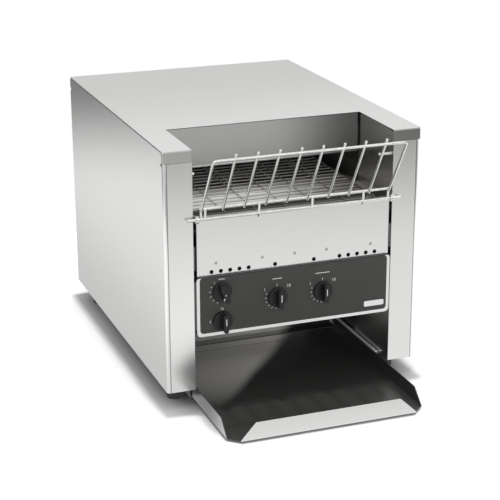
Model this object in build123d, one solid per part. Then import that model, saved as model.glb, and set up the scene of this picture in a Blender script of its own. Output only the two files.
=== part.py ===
from build123d import *
import math
import os

# A counter-top conveyor toaster.  Shapes are drawn in millimetres with x = 0 on the middle plane,
# y = 0 on the front face of the casing's pillars (y grows towards the back) and z = 0 on the casing's
# lower edge.  put() moves them into the part's own frame: z = 0 under the feet, centred in x and y.

# ---- casing ----
case_width = 368.0
case_height = 338.0
case_depth = 487.0
pillar_width = 39.8          # front face of each pillar
recess_depth = 113.3         # feed opening, open at the front and at the top
sheet = 1.2                  # stainless sheet of the casing
corner_radius = 5.0          # upright bend between side and pillar
seat = 0.3                   # gap between pieces that rest on each other
past = 1.0                   # how far a cutter runs past a face, or a boss starts inside one
hole_clearance = 1.0
bend_relief = 4.0
recess_flange = 12.0
chassis_foot = 12.0
chassis_foot_front = 41.0
foot_height = 26.0
foot_radius = 12.5
foot_taper = 1.5             # the foot is this much slimmer at its lower edge
foot_inset_side = 24.0
foot_inset_end = 45.0
top_flange = 16.5            # front and rear lips of the top panel
top_reveal = 2.7             # shadow line between top panel and side panel
recess_wall_rise = 43.0      # lower edge of the recess back wall above the belt
recess_corner_gap = 2.4
side_foot_flange = 9.0
return_step_y = 30.0         # the pillar's inner return is shorter behind this depth
pan_opening_past = 60.0      # the base pan is open this far behind the slide's end
pan_ledge = 2.0              # the pan reaches this far over the tray's edge

# ---- front panel and control box ----
panel_gap = 3.7              # open gap between panel and pillar
panel_over_belt = 5.3
panel_flange = 11.0
vent_radius = 2.4
vent_rise = 5.0              # above the control box
vent_pitch = 13.2
vent_side_margin = 21.2
vent_inner_x = 28.4
vents_in_row = 5
panel_fold = 1.0             # rounding of the panel's top fold
dimple_radius = 1.6
dimple_depth = 0.25
dimple_rise = 17.0           # above the control box
dimple_shares = (-0.804, -0.334, 0.0, 0.334, 0.804)   # of the panel's half width
box_gap = 2.7                # between control box and pillar
box_height = 85.2
box_under_belt = 75.0
box_depth = 62.0
spacer_front = 4.0
spacer_back = 40.0
spacer_inset = 8.0
panel_spacer_drop = 40.0     # upper spacers end this far below the rack's pivot
bezel_proud = 3.0
bezel_radius = 6.0
overlay_side_margin = 4.5
overlay_foot_margin = 4.7
overlay_top_margin = 1.5
overlay_thick = 0.8
badge_width = 30.0
badge_height = 8.0
badge_thick = 0.8
badge_from_side = 19.0       # its middle, from the overlay's edge
badge_drop = 69.5            # its middle, under the box's top

# ---- knobs ----
speed_from_side = 30.5       # middle of each dial, from the overlay's edge or as a share of its half width
power_from_side = 31.0
top_heat_share = -0.195
bottom_heat_share = 0.292
speed_drop = 23.0            # and under the box's top
power_drop = 64.5
heat_drop = 41.0
speed_dial_angle = -202.0     # the speed knob's mark points to the low end of its scale
knob_skirt_radius = 13.5
knob_skirt = 5.0
knob_reach = 18.0            # from the overlay to the front of the bar
knob_bar_width = 7.0
knob_bar_length = 26.0
knob_skirt_edge = 1.25
knob_bar_edge = 0.7
index_width = 1.3
index_depth = 0.3
index_foot = -2.5
index_tip = 8.0
dial_shaft_radius = 3.0
shaft_in_knob = 12.0
shaft_in_control = 6.0
control_neck = 5.0
control_hub = 4.0            # hub on the back of each control
control_hub_radius = 5.0
control_edge = 3.0
speed_control_radius = 12.0
speed_control_depth = 12.0
switch_size = 30.0
switch_depth = 24.0
heat_control_width = 44.0
heat_control_height = 38.0
heat_control_depth = 30.0
lug_pitch = 6.0              # flat terminals on the back of each control
lug_width = 3.0
lug_thick = 1.0
lug_rise = 6.5
lug_length = 8.0

# ---- feed rack ----
pivot_y = -5.0
pivot_over_belt = 6.5
pivot_rod_radius = 2.0
pivot_rod_over = 9.8         # into each pillar
rack_wire_radius = 1.75
rack_side_gap = 9.2
rack_pitch = 30.0
rack_lean = 32.7             # degrees from upright, leaning out over the front
rack_length = 101.0          # along the rods, from lower rail to tips
rack_rail_rise = 14.5        # lower rail above the pivot rod
rack_tip = 6.0               # inner rods stand this far past the top rail
rack_link_shares = (-0.956, -0.396, 0.17, 0.726)   # of the rack's half width
rack_set_forward = 1.0       # lower rail in front of the pivot rod
rack_rail_over = 2.5         # its ends stand this far past the outer rods' middles
rack_lay = 2.8               # rods lie this far out from the rails
rack_tip_lay = 0.35
rack_bend = 5.25
rack_tail = 4.5
ear_thick = 1.5
ear_radius = 5.5
ear_arm_drop = 3.0
bush_radius = 3.4
bush_flange_radius = 4.8
bush_flange = 1.2
running = 0.05               # radial clearance of a turning fit
stop_stud_back = 30.5        # behind and above the pivot
stop_stud_rise = 54.2
stop_stud_radius = 2.0
stop_stud_length = 10.5

# ---- conveyor ----
belt_pitch = 15.0
belt_wheel_steps = 10        # wires round a full wheel
belt_drop = 101.0            # under the top of the casing
belt_wire_radius = 0.9
belt_side_gap = 11.2
belt_strands = 7
belt_strand_width = 1.8
belt_strand_thick = 1.5
idler_y = 34.0
drive_from_back = 63.0
shaft_radius = 5.0
shaft_over = 4.8             # past the chassis plates
belt_clear = 0.4
idler_wall = 1.5
idler_disc = 2.0
idler_inset = 3.0            # from the belt's edge
belt_wheel_width = 8.0
belt_wheel_inset = 23.0
belt_wheels = 5
notch_radius = 1.6
chassis_set = 1.8            # inner face of the chassis plates behind the pillars' inner faces
chassis_front = 14.0
chassis_back_gap = 15.0
bearing_radius = 8.0
bearing_flange_radius = 11.0
bearing_flange = 2.0
bearing_inner = 0.5
collar_radius = 7.5
collar_width = 2.0
support_bar = 3.0
support_front_gap = 6.0
support_back_gap = 4.0
cross_bar_front = 28.0       # from the rails' front end
cross_bar_back = 34.0        # from the rails' back end
support_height = 9.8
support_rails = 4
support_inset = 37.0
cross_bar = 6.0
feed_plate_front = 60.0
feed_plate_back = 146.0
feed_plate_lip = 9.0

# ---- heating ----
element_radius = 4.0
elements_per_side = 4
element_front_gap = 30.0     # first and last heater from the reflector's ends
element_back_gap = 62.0
upper_element_drop = 38.0    # under the top of the casing
lower_element_drop = 31.0    # under the belt
element_over = 10.8          # past the chassis plates
terminal_radius = 2.0
terminal_length = 9.0
insulator_radius = 6.8
insulator_flange_radius = 9.5
insulator_flange = 2.5
insulator_inner = 1.4
insulator_outer = 5.0
reflector_front_gap = 6.7
reflector_back_gap = 32.0    # in front of the drive shaft
upper_reflector_drop = 20.0  # under the top of the casing
upper_reflector_depth = 34.0
lower_reflector_drop = 43.8  # under the belt
lower_reflector_depth = 18.8
insulation_thick = 14.0
insulation_inset = 8.0
insulation_side_gap = 8.0

# ---- toast slide and discharge tray ----
slide_back_gap = 8.0
slide_over_belt = 25.0
slide_angle = 27.0
slide_radius = 110.0
slide_end_set = 234.0        # in front of the drive shaft
slide_end_z = -12.0
slide_toe = 16.0
slide_side_gap = 1.5         # to the base pan's opening
tray_side_gap = 3.2          # inside the pillars' inner faces
tray_sheet = 1.0
tray_floor = -23.0           # underside of the tray
tray_wall_top = -1.0
tray_under_slide = 25.0
tray_kink_y = -93.5          # side walls slope down from here
tray_corner_y = -116.0       # and end here, at the clipped corner
tray_reach = 130.0           # front edge in front of the pillars
tray_corner_cut = 15.0
tray_lip_slope = 22.4        # each end of the lip, from its foot to its top edge
tray_lip_lean = 4.0
tray_lip_top = 0.0
rail_front = 31.0
rail_past_slide = 110.0
rail_ledge = 11.0
rail_lip = 5.2
rail_flange = 3.0
rail_gap = 1.0               # side play between tray and rail

# ---- drive ----
chain_pitch = 9.525
chain_roller_radius = 3.1
chain_plate = 1.0
chain_inner_width = 3.6
chain_plate_half = 4.0
motor_teeth = 12
drive_teeth = 24
sprocket_thick = 2.6
hub_radius = 9.0
hub_length = 5.0
hub_rim = 2.0
chain_set = 10.8             # outside the chassis plate
motor_set = 9.0              # in front of the drive shaft
motor_shaft_z = 52.0
motor_shaft_radius = 4.0
motor_shaft_way = 2.0        # clearance where it goes through the chassis plate
gearbox_width = 32.0
gearbox_size = 58.0
motor_radius = 24.0
motor_length = 50.0
motor_gap = 9.0              # gearbox to chassis plate
gearbox_edge = 6.0
gearbox_boss = 4.0
gearbox_boss_radius = 10.0
gearbox_bore = 14.0
bracket_thick = 2.0
bracket_web_inset = 6.0
bracket_web_side = 2.0

# ---- fan, gland and electrics ----
fan_size = 80.0
fan_depth = 25.0
fan_bore = 38.0
fan_from_side = 114.0
fan_z = 52.0
fan_arms = 3
fan_arm_width = 5.0
fan_arm_thick = 3.0
fan_hub_plate = 5.0
fan_hub_radius = 16.0
fan_hub_gap = 0.6
fan_hub_back = 2.0
fan_blades = 7
fan_blade_tip = 36.5
fan_blade_thick = 1.2
fan_blade_root = 2.0
fan_blade_depth = 16.0
fan_blade_twist = 35.0
fan_pin_radius = 1.5
fan_pin_length = 4.0
fan_screw_pitch = 71.5
guard_wire = 1.0             # half the width of the guard's rings
guard_thick = 1.5
guard_rings = 4
gland_from_side = 32.0
gland_z = 36.0
gland_radius = 11.0
gland_length = 14.0
gland_bore = 5.0
gland_thread_radius = 8.0
gland_thread = 8.0
gland_nut = 5.0
gland_edge = 2.0
terminal_ways = 6
terminal_pitch = 8.0
terminal_width = 16.0
terminal_base = 12.0
terminal_head = 6.0
terminal_head_width = 12.0
terminal_head_length = 5.2
terminal_screw_radius = 1.6
terminal_from_side = 2.0
terminal_from_back = 122.0
limiter_radius = 8.0
limiter_length = 8.0
limiter_plate = 1.0
limiter_plate_length = 30.0
limiter_plate_height = 10.0
limiter_rise = 14.0          # above the upper heaters
limiter_tab_width = 6.0
limiter_tab_length = 9.0
board_from_side = 13.5
board_width = 48.0
board_inset = 14.0
board_thick = 1.6
board_standoff = 8.0
board_post_inset = 4.0
board_post_radius = 2.5
board_heat_sink = 16.0
board_heat_sink_height = 15.0
board_capacitor_radius = 8.0
board_capacitor_height = 20.0
board_plug_height = 8.0
board_plug_depth = 11.0
louvre_land = 12.0
louvre_height = 4.0
louvre_pitch = 12.0
louvre_rows = 6
louvre_drop = 100.0          # lowest row under the top of the casing
louvre_columns = 4
louvre_side_margin = 88.0
screw_radius = 2.0
screw_head_radius = 4.0
screw_head = 1.8
foot_screw_depth = 9.0
foot_hole_depth = 10.0
back_screw_depth = 8.0
back_screw_inset = 8.0
back_screw_rises = (0.25, 0.5, 0.85)   # shares of the casing's height
fan_screw_depth = 12.0

# ---- worked out from the above: casing ----
half = case_width / 2
gap_half = half - pillar_width            # inner faces of the pillars
top_under = case_height - sheet           # underside of the top panel
side_top = case_height - top_reveal
pillar_top = case_height - top_flange - seat
pan_under = sheet + seat
pan_top = pan_under + sheet
rear_reach = gland_length
front_y = -(case_depth + rear_reach - tray_reach) / 2
louvre_spread = half - louvre_side_margin
louvre_width = 2 * louvre_spread / (louvre_columns - 1) - louvre_land
fan_x = fan_from_side - half
gland_x = gland_from_side - half

# ---- worked out: conveyor and chassis ----
belt_level = case_height - belt_drop
belt_half = gap_half - belt_side_gap
belt_under = belt_level - max(belt_wire_radius, belt_strand_thick / 2)
belt_straight_steps = round((case_depth - drive_from_back - idler_y) / belt_pitch)
wheel_pitch_radius = belt_pitch / 2 / math.sin(math.pi / belt_wheel_steps)
wheel_radius = (wheel_pitch_radius * math.cos(math.pi / belt_wheel_steps)
                - max(belt_wire_radius, belt_strand_thick / 2) - belt_clear)
shaft_z = belt_level - wheel_pitch_radius
drive_y = idler_y + belt_pitch * belt_straight_steps
idler_half = belt_half - idler_inset
belt_wheel_spread = belt_half - belt_wheel_inset
support_spread = belt_half - support_inset
chassis_inner = gap_half + chassis_set
chassis_outer = chassis_inner + sheet
chassis_back = case_depth - chassis_back_gap
shaft_half = chassis_outer + shaft_over
chain_x = chassis_outer + chain_set
motor_shaft_y = drive_y - motor_set
motor_pitch_radius = chain_pitch / 2 / math.sin(math.pi / motor_teeth)
drive_pitch_radius = chain_pitch / 2 / math.sin(math.pi / drive_teeth)

# ---- worked out: front, knobs and rack ----
panel_half = gap_half - panel_gap
panel_top = belt_level + panel_over_belt
box_half = gap_half - box_gap
box_top = belt_level - box_under_belt
box_foot = box_top - box_height
box_front = -bezel_proud
overlay_half = box_half - overlay_side_margin
overlay_foot = box_foot + overlay_foot_margin
overlay_top = box_top - overlay_top_margin
overlay_front = box_front - overlay_thick
badge_x = overlay_half - badge_from_side
badge_z = box_top - badge_drop
knob_places = {
    "speed": (speed_from_side - overlay_half, box_top - speed_drop),
    "power": (power_from_side - overlay_half, box_top - power_drop),
    "top_heat": (top_heat_share * overlay_half, box_top - heat_drop),
    "bottom_heat": (bottom_heat_share * overlay_half, box_top - heat_drop),
}
pivot_z = belt_level + pivot_over_belt
pivot_rod_half = gap_half + pivot_rod_over
rack_half = gap_half - rack_side_gap
rack_links = [share * rack_half for share in rack_link_shares]
recess_wall_foot = belt_level + recess_wall_rise

# ---- worked out: heating, slide and tray ----
reflector_front = recess_depth + reflector_front_gap
reflector_back = drive_y - reflector_back_gap
upper_reflector_top = case_height - upper_reflector_drop
lower_reflector_floor = belt_level - lower_reflector_drop
upper_element_z = case_height - upper_element_drop
lower_element_z = belt_level - lower_element_drop
element_half = chassis_outer + element_over
element_first_y = reflector_front + element_front_gap
element_pitch = (reflector_back - element_back_gap - element_first_y) / (elements_per_side - 1)
element_ys = [element_first_y + element_pitch * i for i in range(elements_per_side)]
insulation_half = chassis_inner - insulation_side_gap
slide_back_y = case_depth - slide_back_gap
slide_top = belt_level + slide_over_belt
slide_end_y = drive_y - slide_end_set
tray_half = gap_half - tray_side_gap
tray_lip_half = tray_half - tray_corner_cut
tray_lip_top_half = tray_lip_half - tray_lip_slope
tray_back = slide_end_y + tray_under_slide
rail_back = slide_end_y + rail_past_slide
pan_opening_half = tray_half - pan_ledge
pan_opening_depth = slide_end_y + pan_opening_past


def put(name, *shapes):
    """Move the shapes of one node into the part's frame and write them as one STEP file."""
    moved = [Pos(0, front_y, foot_height) * shape for shape in shapes]
    solids = [solid for shape in moved for solid in shape.solids()]
    node = solids[0] if len(solids) == 1 else Compound(children=solids)
    node.label = name
    export_step(node, "parts/" + name + ".step")


def block(x0, x1, y0, y1, z0, z1):
    return Pos((x0 + x1) / 2, (y0 + y1) / 2, (z0 + z1) / 2) * Box(x1 - x0, y1 - y0, z1 - z0)


def rect(x0, x1, y0, y1):
    return Pos((x0 + x1) / 2, (y0 + y1) / 2) * Rectangle(x1 - x0, y1 - y0)


def rod_x(x0, x1, y, z, radius):
    return Pos((x0 + x1) / 2, y, z) * Rot(0, 90, 0) * Cylinder(radius, x1 - x0)


def rod_y(x, y0, y1, z, radius):
    return Pos(x, (y0 + y1) / 2, z) * Rot(90, 0, 0) * Cylinder(radius, y1 - y0)


def rod_z(x, y, z0, z1, radius):
    return Pos(x, y, (z0 + z1) / 2) * Cylinder(radius, z1 - z0)


def rod_between(start, end, radius):
    """Round bar between two points."""
    line = Line(start, end)
    return Solid.make_cylinder(radius, line.length, Plane(origin=start, z_dir=line % 0))


def plate_x(points, x0, x1):
    """Flat plate cut in the y-z plane and given its thickness along x."""
    face = make_face(Polyline(*[(0, y, z) for y, z in points], close=True))
    return Pos(x0, 0, 0) * extrude(face, x1 - x0, dir=(1, 0, 0))


def plate_y(outline, y0, y1):
    """Sketch drawn in x and z, given its thickness along y."""
    return Pos(0, y0, 0) * extrude(Plane.XZ * outline, y1 - y0, dir=(0, 1, 0))


def both_sides(shape):
    return [shape, mirror(shape, about=Plane.YZ)]


def spread(count, reach):
    """Evenly spaced places from -reach to reach."""
    return [reach * (2 * i / (count - 1) - 1) for i in range(count)]


# ---- casing ----
def side_panel():
    """Left side, bent round into the pillar's face and its inner return, one sheet."""
    outer = rect(-half, -gap_half, 0, case_depth)
    outer = fillet(outer.vertices().sort_by(Axis.Y)[:2].sort_by(Axis.X)[0], corner_radius)
    inner = rect(-half + sheet, -gap_half - sheet, sheet, case_depth)
    inner = fillet(inner.vertices().sort_by(Axis.Y)[:2].sort_by(Axis.X)[0], corner_radius - sheet)
    behind_return = rect(-gap_half - 2 * sheet, -gap_half + sheet, recess_depth, case_depth + sheet)
    shell = extrude(outer - inner - behind_return, side_top)
    pillar_head = block(-half + corner_radius, -gap_half + sheet, -sheet, sheet + seat,
                        pillar_top, case_height)
    bend_head = block(-half - sheet, -half + corner_radius, -sheet, corner_radius + past,
                      pillar_top, case_height)
    relief = block(-half - sheet, -half + 2 * sheet, corner_radius, corner_radius + bend_relief,
                   pillar_top - bend_relief, pillar_top)
    rear_relief = block(-half - sheet, -half + 2 * sheet, case_depth - bend_relief,
                        case_depth + sheet, pillar_top - bend_relief, pillar_top)
    over_pan = block(-gap_half - 2 * sheet, -gap_half + sheet, return_step_y, case_depth,
                     -sheet, pan_top + seat)
    shaft_way = rod_x(-gap_half - 2 * sheet, -gap_half + sheet, idler_y, shaft_z,
                      bearing_flange_radius + hole_clearance)
    shell -= pillar_head + bend_head + relief + rear_relief + over_pan + shaft_way
    foot_flange = block(-half + sheet / 2, -half + sheet + side_foot_flange,
                        2 * corner_radius, case_depth - 3 * sheet, 0, sheet)
    stud = rod_x(-gap_half - sheet / 2, -gap_half + stop_stud_length, pivot_y + stop_stud_back,
                 pivot_z + stop_stud_rise, stop_stud_radius)
    return shell + foot_flange + stud


def top_panel():
    """Flat top with the feed opening cut out and lips turned down at the front, back and sides."""
    plan = rect(-half, half, 0, case_depth) - rect(-gap_half, gap_half, -sheet, recess_depth)
    top = Pos(0, 0, top_under) * extrude(plan, sheet)
    lip_foot = case_height - top_flange
    for side in (-1, 1):
        x0, x1 = sorted((side * half, side * gap_half))
        top += block(x0, x1, 0, sheet, lip_foot, top_under)
        x0, x1 = sorted((side * half, side * (half - sheet)))
        top += block(x0, x1, 0, corner_radius - seat, lip_foot, top_under)
        x0, x1 = sorted((side * (half - sheet - seat), side * (half - 2 * sheet - seat)))
        top += block(x0, x1, corner_radius + sheet, case_depth - 3 * sheet, lip_foot, top_under)
    top += block(-half + sheet, half - sheet, case_depth - sheet, case_depth, lip_foot, top_under)
    return top


def recess_back_wall():
    """Wall above the toasting chamber's mouth, with a hem at its foot and a flange under the top."""
    reach = gap_half - recess_corner_gap
    y0, y1 = recess_depth + seat, recess_depth + seat + sheet
    wall = block(-reach, reach, y0, y1, recess_wall_foot, top_under - seat)
    wall += block(-reach, reach, y0, y0 + recess_flange, top_under - seat - sheet, top_under - seat)
    hem = rod_x(-reach, reach, y0 + sheet / 2, recess_wall_foot + sheet, sheet)
    return wall + hem


def back_panel():
    """Rear sheet with louvres, the fan's opening and the gland's hole."""
    z0, z1 = pan_top + seat, case_height - top_flange - seat
    reach = half - sheet - seat
    panel = block(-reach, reach, case_depth - sheet, case_depth, z0, z1)
    cuts = rod_y(fan_x, case_depth - 2 * sheet, case_depth + sheet, fan_z, fan_bore)
    cuts += rod_y(gland_x, case_depth - 2 * sheet, case_depth + sheet, gland_z,
                  gland_thread_radius + seat)
    for x in spread(louvre_columns, louvre_spread):
        for row in range(louvre_rows):
            z = case_height - louvre_drop + louvre_pitch * row
            cuts += block(x - louvre_width / 2, x + louvre_width / 2, case_depth - 2 * sheet,
                          case_depth + sheet, z - louvre_height / 2, z + louvre_height / 2)
    for x, z in fan_screw_places():
        cuts += rod_y(x, case_depth - 2 * sheet, case_depth + sheet, z, screw_radius + running)
    for x, z in back_screw_places():
        cuts += rod_y(x, case_depth - 2 * sheet, case_depth + sheet, z, screw_radius + running)
    return panel - cuts


def base_pan():
    """Floor sheet, open at the front where the tray goes in; screws hold the feet to it."""
    plan = rect(-half + sheet + seat, half - sheet - seat, rail_front, case_depth - 2 * sheet)
    plan -= rect(-pan_opening_half, pan_opening_half, 0, pan_opening_depth)
    pan = Pos(0, 0, pan_under) * extrude(plan, sheet)
    for x, y in foot_places():
        pan -= rod_z(x, y, 0, foot_height, screw_radius + running)
    return pan


def chassis_plate():
    """Left inner plate that carries the shafts, the elements and the reflectors."""
    x0, x1 = -chassis_outer, -chassis_inner
    plate = block(x0, x1, chassis_front, chassis_back, pan_top + seat, top_under - seat)
    plate += block(x0 - chassis_foot, x0, chassis_foot_front, chassis_back,
                   pan_top + seat, pan_top + seat + sheet)
    cuts = rod_x(x0 - past, x1 + past, idler_y, shaft_z, bearing_radius + running)
    cuts += rod_x(x0 - past, x1 + past, drive_y, shaft_z, bearing_radius + running)
    for y in element_ys:
        for z in (upper_element_z, lower_element_z):
            cuts += rod_x(x0 - past, x1 + past, y, z, insulator_radius + running)
    for x, y in foot_places():
        cuts += rod_z(x, y, pan_top, pan_top + 3 * sheet, screw_head_radius + hole_clearance)
    return plate - cuts


def right_chassis_plate():
    """Mirror image of the left plate, with a hole for the motor's shaft."""
    way = rod_x(chassis_inner - past, chassis_outer + past, motor_shaft_y, motor_shaft_z,
                motor_shaft_radius + motor_shaft_way)
    return mirror(chassis_plate(), about=Plane.YZ) - way


# ---- front panel and control box ----
def vent_xs():
    last = panel_half - vent_side_margin
    row = [last - vent_pitch * i for i in range(vents_in_row)] + [vent_inner_x]
    return [-x for x in row] + row


def front_panel():
    """Sheet between the pillars with a folded top edge, side flanges and small vent holes."""
    foot = box_top + seat
    panel = block(-panel_half, panel_half, 0, sheet, foot, panel_top)
    panel += block(-panel_half, panel_half, 0, panel_flange, panel_top - sheet, panel_top)
    for side in (-1, 1):
        x0, x1 = sorted((side * panel_half, side * (panel_half - sheet)))
        panel += block(x0, x1, 0, panel_flange, foot, panel_top)
    panel = fillet(panel.edges().filter_by(Axis.X).group_by(Axis.Z)[-1].sort_by(Axis.Y)[0],
                   panel_fold)
    for x in vent_xs():
        panel -= rod_y(x, -sheet, 2 * sheet, box_top + vent_rise, vent_radius)
    for share in dimple_shares:
        panel -= rod_y(share * panel_half, -sheet, dimple_depth, box_top + dimple_rise, dimple_radius)
    return panel


def rounded(reach, foot, top, radius):
    """Rounded rectangle in x and z, as a sketch."""
    return Pos(0, (foot + top) / 2) * RectangleRounded(2 * reach, top - foot, radius)


def control_box():
    """Stainless box behind the controls, whose front edge stands a little proud of the pillars."""
    outline = rounded(box_half, box_foot, box_top, bezel_radius)
    box = plate_y(outline, box_front, box_front + sheet)
    skirt = outline - rounded(box_half - sheet, box_foot + sheet, box_top - sheet,
                              bezel_radius - sheet)
    box += plate_y(skirt, box_front, box_depth)
    for x, z in knob_places.values():
        box -= rod_y(x, box_front - sheet, box_front + 2 * sheet, z, control_neck)
    return box


def box_brackets():
    """Spacers that hold the control box and the front panel between the two pillar returns."""
    spacers = []
    for side in (-1, 1):
        x0, x1 = sorted((side * (box_half + seat), side * (gap_half - seat)))
        spacers.append(block(x0, x1, spacer_front, spacer_back,
                             box_foot + spacer_inset, box_top - spacer_inset))
        x0, x1 = sorted((side * (panel_half + seat), side * (gap_half - seat)))
        spacers.append(block(x0, x1, spacer_front, panel_flange - past,
                             box_top + spacer_inset, pivot_z - panel_spacer_drop))
    return spacers


def control_overlay():
    """Dark printed plate on the face of the control box."""
    outline = rounded(overlay_half, overlay_foot, overlay_top, bezel_radius - sheet - seat)
    plate = plate_y(outline, overlay_front, box_front)
    for x, z in knob_places.values():
        plate -= rod_y(x, overlay_front - sheet, box_front + sheet, z, control_neck)
    return plate


def blank_badge():
    """Plain rounded plate on the overlay."""
    outline = Pos(badge_x, badge_z) * RectangleRounded(badge_width, badge_height, badge_height / 4)
    return plate_y(outline, overlay_front - badge_thick, overlay_front)


# ---- knobs and controls ----
def knob(x, z, angle):
    """Bar knob: round skirt, upright grip bar and a groove for its white mark."""
    y_back = overlay_front - seat
    y_front = overlay_front - knob_reach
    skirt = rod_y(x, y_back - knob_skirt, y_back, z, knob_skirt_radius)
    skirt = fillet(skirt.edges().group_by(Axis.Y)[0], knob_skirt_edge)
    grip = SlotOverall(knob_bar_length, knob_bar_width, rotation=90)
    bar = plate_y(Pos(x, z) * grip, y_front, y_back - knob_skirt + past)
    bar = fillet(bar.edges().group_by(Axis.Y)[0], knob_bar_edge)
    groove = block(x - index_width / 2, x + index_width / 2, y_front - past, y_front + index_depth,
                   z + index_foot, z + index_tip)
    bore = rod_y(x, y_back - shaft_in_knob - running, y_back + past, z, dial_shaft_radius + running)
    turned = Pos(x, 0, z) * Rot(0, angle, 0) * Pos(-x, 0, -z) * (skirt + bar - groove)
    return turned - bore


def dial_shaft(x, z):
    """Shaft that turns with its knob, from inside the control to inside the knob."""
    y_tip = overlay_front - seat - shaft_in_knob
    return rod_y(x, y_tip, box_front + sheet + shaft_in_control, z, dial_shaft_radius)


def control_body(x, z, outline, depth):
    """Body of a control behind the box's face, with the blind hole that its shaft turns in."""
    y0 = box_front + sheet + seat
    y1 = y0 + depth
    body = plate_y(Pos(x, z) * outline, y0, y1)
    body += rod_y(x, y1 - past, y1 + control_hub, z, control_hub_radius)
    for place in (-lug_pitch, 0, lug_pitch):
        body += block(x + place - lug_width / 2, x + place + lug_width / 2, y1 - past, y1 + lug_length,
                      z + lug_rise, z + lug_rise + lug_thick)
    hole_end = box_front + sheet + shaft_in_control + seat
    return body - rod_y(x, y0 - past, hole_end, z, dial_shaft_radius + running)


# ---- feed rack ----
def rack_point(x, along, out=0.0):
    """Point on the leaning rack: distance along a rod from the lower rail, and out of its plane."""
    lean = math.radians(rack_lean)
    foot_y, foot_z = pivot_y - rack_set_forward, pivot_z + rack_rail_rise
    return (x, foot_y - along * math.sin(lean) - out * math.cos(lean),
            foot_z + along * math.cos(lean) - out * math.sin(lean))


def feed_rack():
    """Welded wire rack: pivot rod, lower rail, ten rods, top rail and short links."""
    wire = rack_wire_radius
    rail_along = rack_length - rack_tip
    pieces = [rod_x(-pivot_rod_half, pivot_rod_half, pivot_y, pivot_z, pivot_rod_radius)]
    pieces.append(rod_between(rack_point(-rack_half - rack_rail_over, 0),
                              rack_point(rack_half + rack_rail_over, 0), wire))
    frame_path = FilletPolyline(rack_point(-rack_half, -wire, rack_lay),
                                rack_point(-rack_half, rail_along, rack_lay),
                                rack_point(rack_half, rail_along, rack_lay),
                                rack_point(rack_half, -wire, rack_lay), radius=rack_bend)
    pieces.append(sweep(Plane(frame_path @ 0, z_dir=frame_path % 0) * Circle(wire), path=frame_path))
    inner_count = round(2 * rack_half / rack_pitch) - 1
    for i in range(1, inner_count + 1):
        x = rack_half * (2 * i / (inner_count + 1) - 1)
        pieces.append(rod_between(rack_point(x, -wire, rack_lay),
                                  rack_point(x, rack_length, rack_tip_lay), wire))
    for x in rack_links + [-rack_half, rack_half]:
        pieces.append(rod_between((x, pivot_y, pivot_z), rack_point(x, 0), wire))
    for x in rack_links[1::2]:
        tail_end = (x, -wire - seat, pivot_z - rack_tail)
        pieces.append(rod_between((x, pivot_y, pivot_z), tail_end, wire))
    return pieces[0].fuse(*pieces[1:])


def pivot_ears():
    """Ears on the front panel's side flanges, each with an eye for the rack's bush."""
    x0 = -panel_half - seat - ear_thick
    arm = block(x0, x0 + ear_thick, pivot_y, panel_flange,
                pivot_z - ear_radius, pivot_z + ear_radius - ear_arm_drop)
    eye = rod_x(x0, x0 + ear_thick, pivot_y, pivot_z, ear_radius)
    ear = arm + eye - rod_x(x0 - past, x0 + ear_thick + past, pivot_y, pivot_z, bush_radius + running)
    return both_sides(ear)


def pivot_bushes():
    """Flanged bushes in the ears, which the pivot rod turns in."""
    x0 = -panel_half - seat - ear_thick
    body = rod_x(x0 - past, x0 + ear_thick + bush_flange, pivot_y, pivot_z, bush_radius)
    flange = rod_x(x0 + ear_thick, x0 + ear_thick + 2 * bush_flange, pivot_y, pivot_z, bush_flange_radius)
    bore = rod_x(-half, 0, pivot_y, pivot_z, pivot_rod_radius + running)
    return both_sides(body + flange - bore)


# ---- conveyor ----
def belt_points():
    """Centres (y, z) of the belt's cross wires: a straight run on top and below, and two half turns."""
    step = 2 * math.pi / belt_wheel_steps
    points = [(idler_y + belt_pitch * i, belt_level) for i in range(belt_straight_steps + 1)]
    for i in range(1, belt_wheel_steps // 2):
        angle = math.pi / 2 - step * i
        points.append((drive_y + wheel_pitch_radius * math.cos(angle),
                       shaft_z + wheel_pitch_radius * math.sin(angle)))
    lower = shaft_z - wheel_pitch_radius
    points += [(drive_y - belt_pitch * i, lower) for i in range(belt_straight_steps + 1)]
    for i in range(1, belt_wheel_steps // 2):
        angle = -math.pi / 2 - step * i
        points.append((idler_y + wheel_pitch_radius * math.cos(angle),
                       shaft_z + wheel_pitch_radius * math.sin(angle)))
    return points


def conveyor_belt():
    """Wire belt: cross wires joined by narrow strands that run all the way round."""
    points = belt_points()
    loop = make_face(Polyline(*[(0, y, z) for y, z in points], close=True))
    outer = offset(loop, belt_strand_thick / 2, kind=Kind.INTERSECTION)
    inner = offset(loop, -belt_strand_thick / 2, kind=Kind.INTERSECTION)
    strand = extrude(outer - inner, belt_strand_width, dir=(1, 0, 0))
    reach = belt_half - belt_strand_width
    strands = [Pos(x - belt_strand_width / 2, 0, 0) * strand for x in spread(belt_strands, reach)]
    wires = [rod_x(-belt_half, belt_half, y, z, belt_wire_radius) for y, z in points]
    return strands[0].fuse(*strands[1:], *wires)


def shaft(y, right_end):
    """Round shaft with a collar outside each bushing."""
    bar = rod_x(-shaft_half, right_end, y, shaft_z, shaft_radius)
    collar_x = chassis_outer + bearing_flange + 2 * seat
    for side in (-1, 1):
        x0, x1 = sorted((side * collar_x, side * (collar_x + collar_width)))
        bar += rod_x(x0, x1, y, shaft_z, collar_radius)
    return bar


def idler_roller():
    """Tube with two end discs, fixed on the idler shaft."""
    tube = rod_x(-idler_half, idler_half, idler_y, shaft_z, wheel_radius)
    tube -= rod_x(-idler_half + idler_disc, idler_half - idler_disc, idler_y, shaft_z,
                  wheel_radius - idler_wall)
    return tube - rod_x(-half, half, idler_y, shaft_z, shaft_radius + running)


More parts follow.
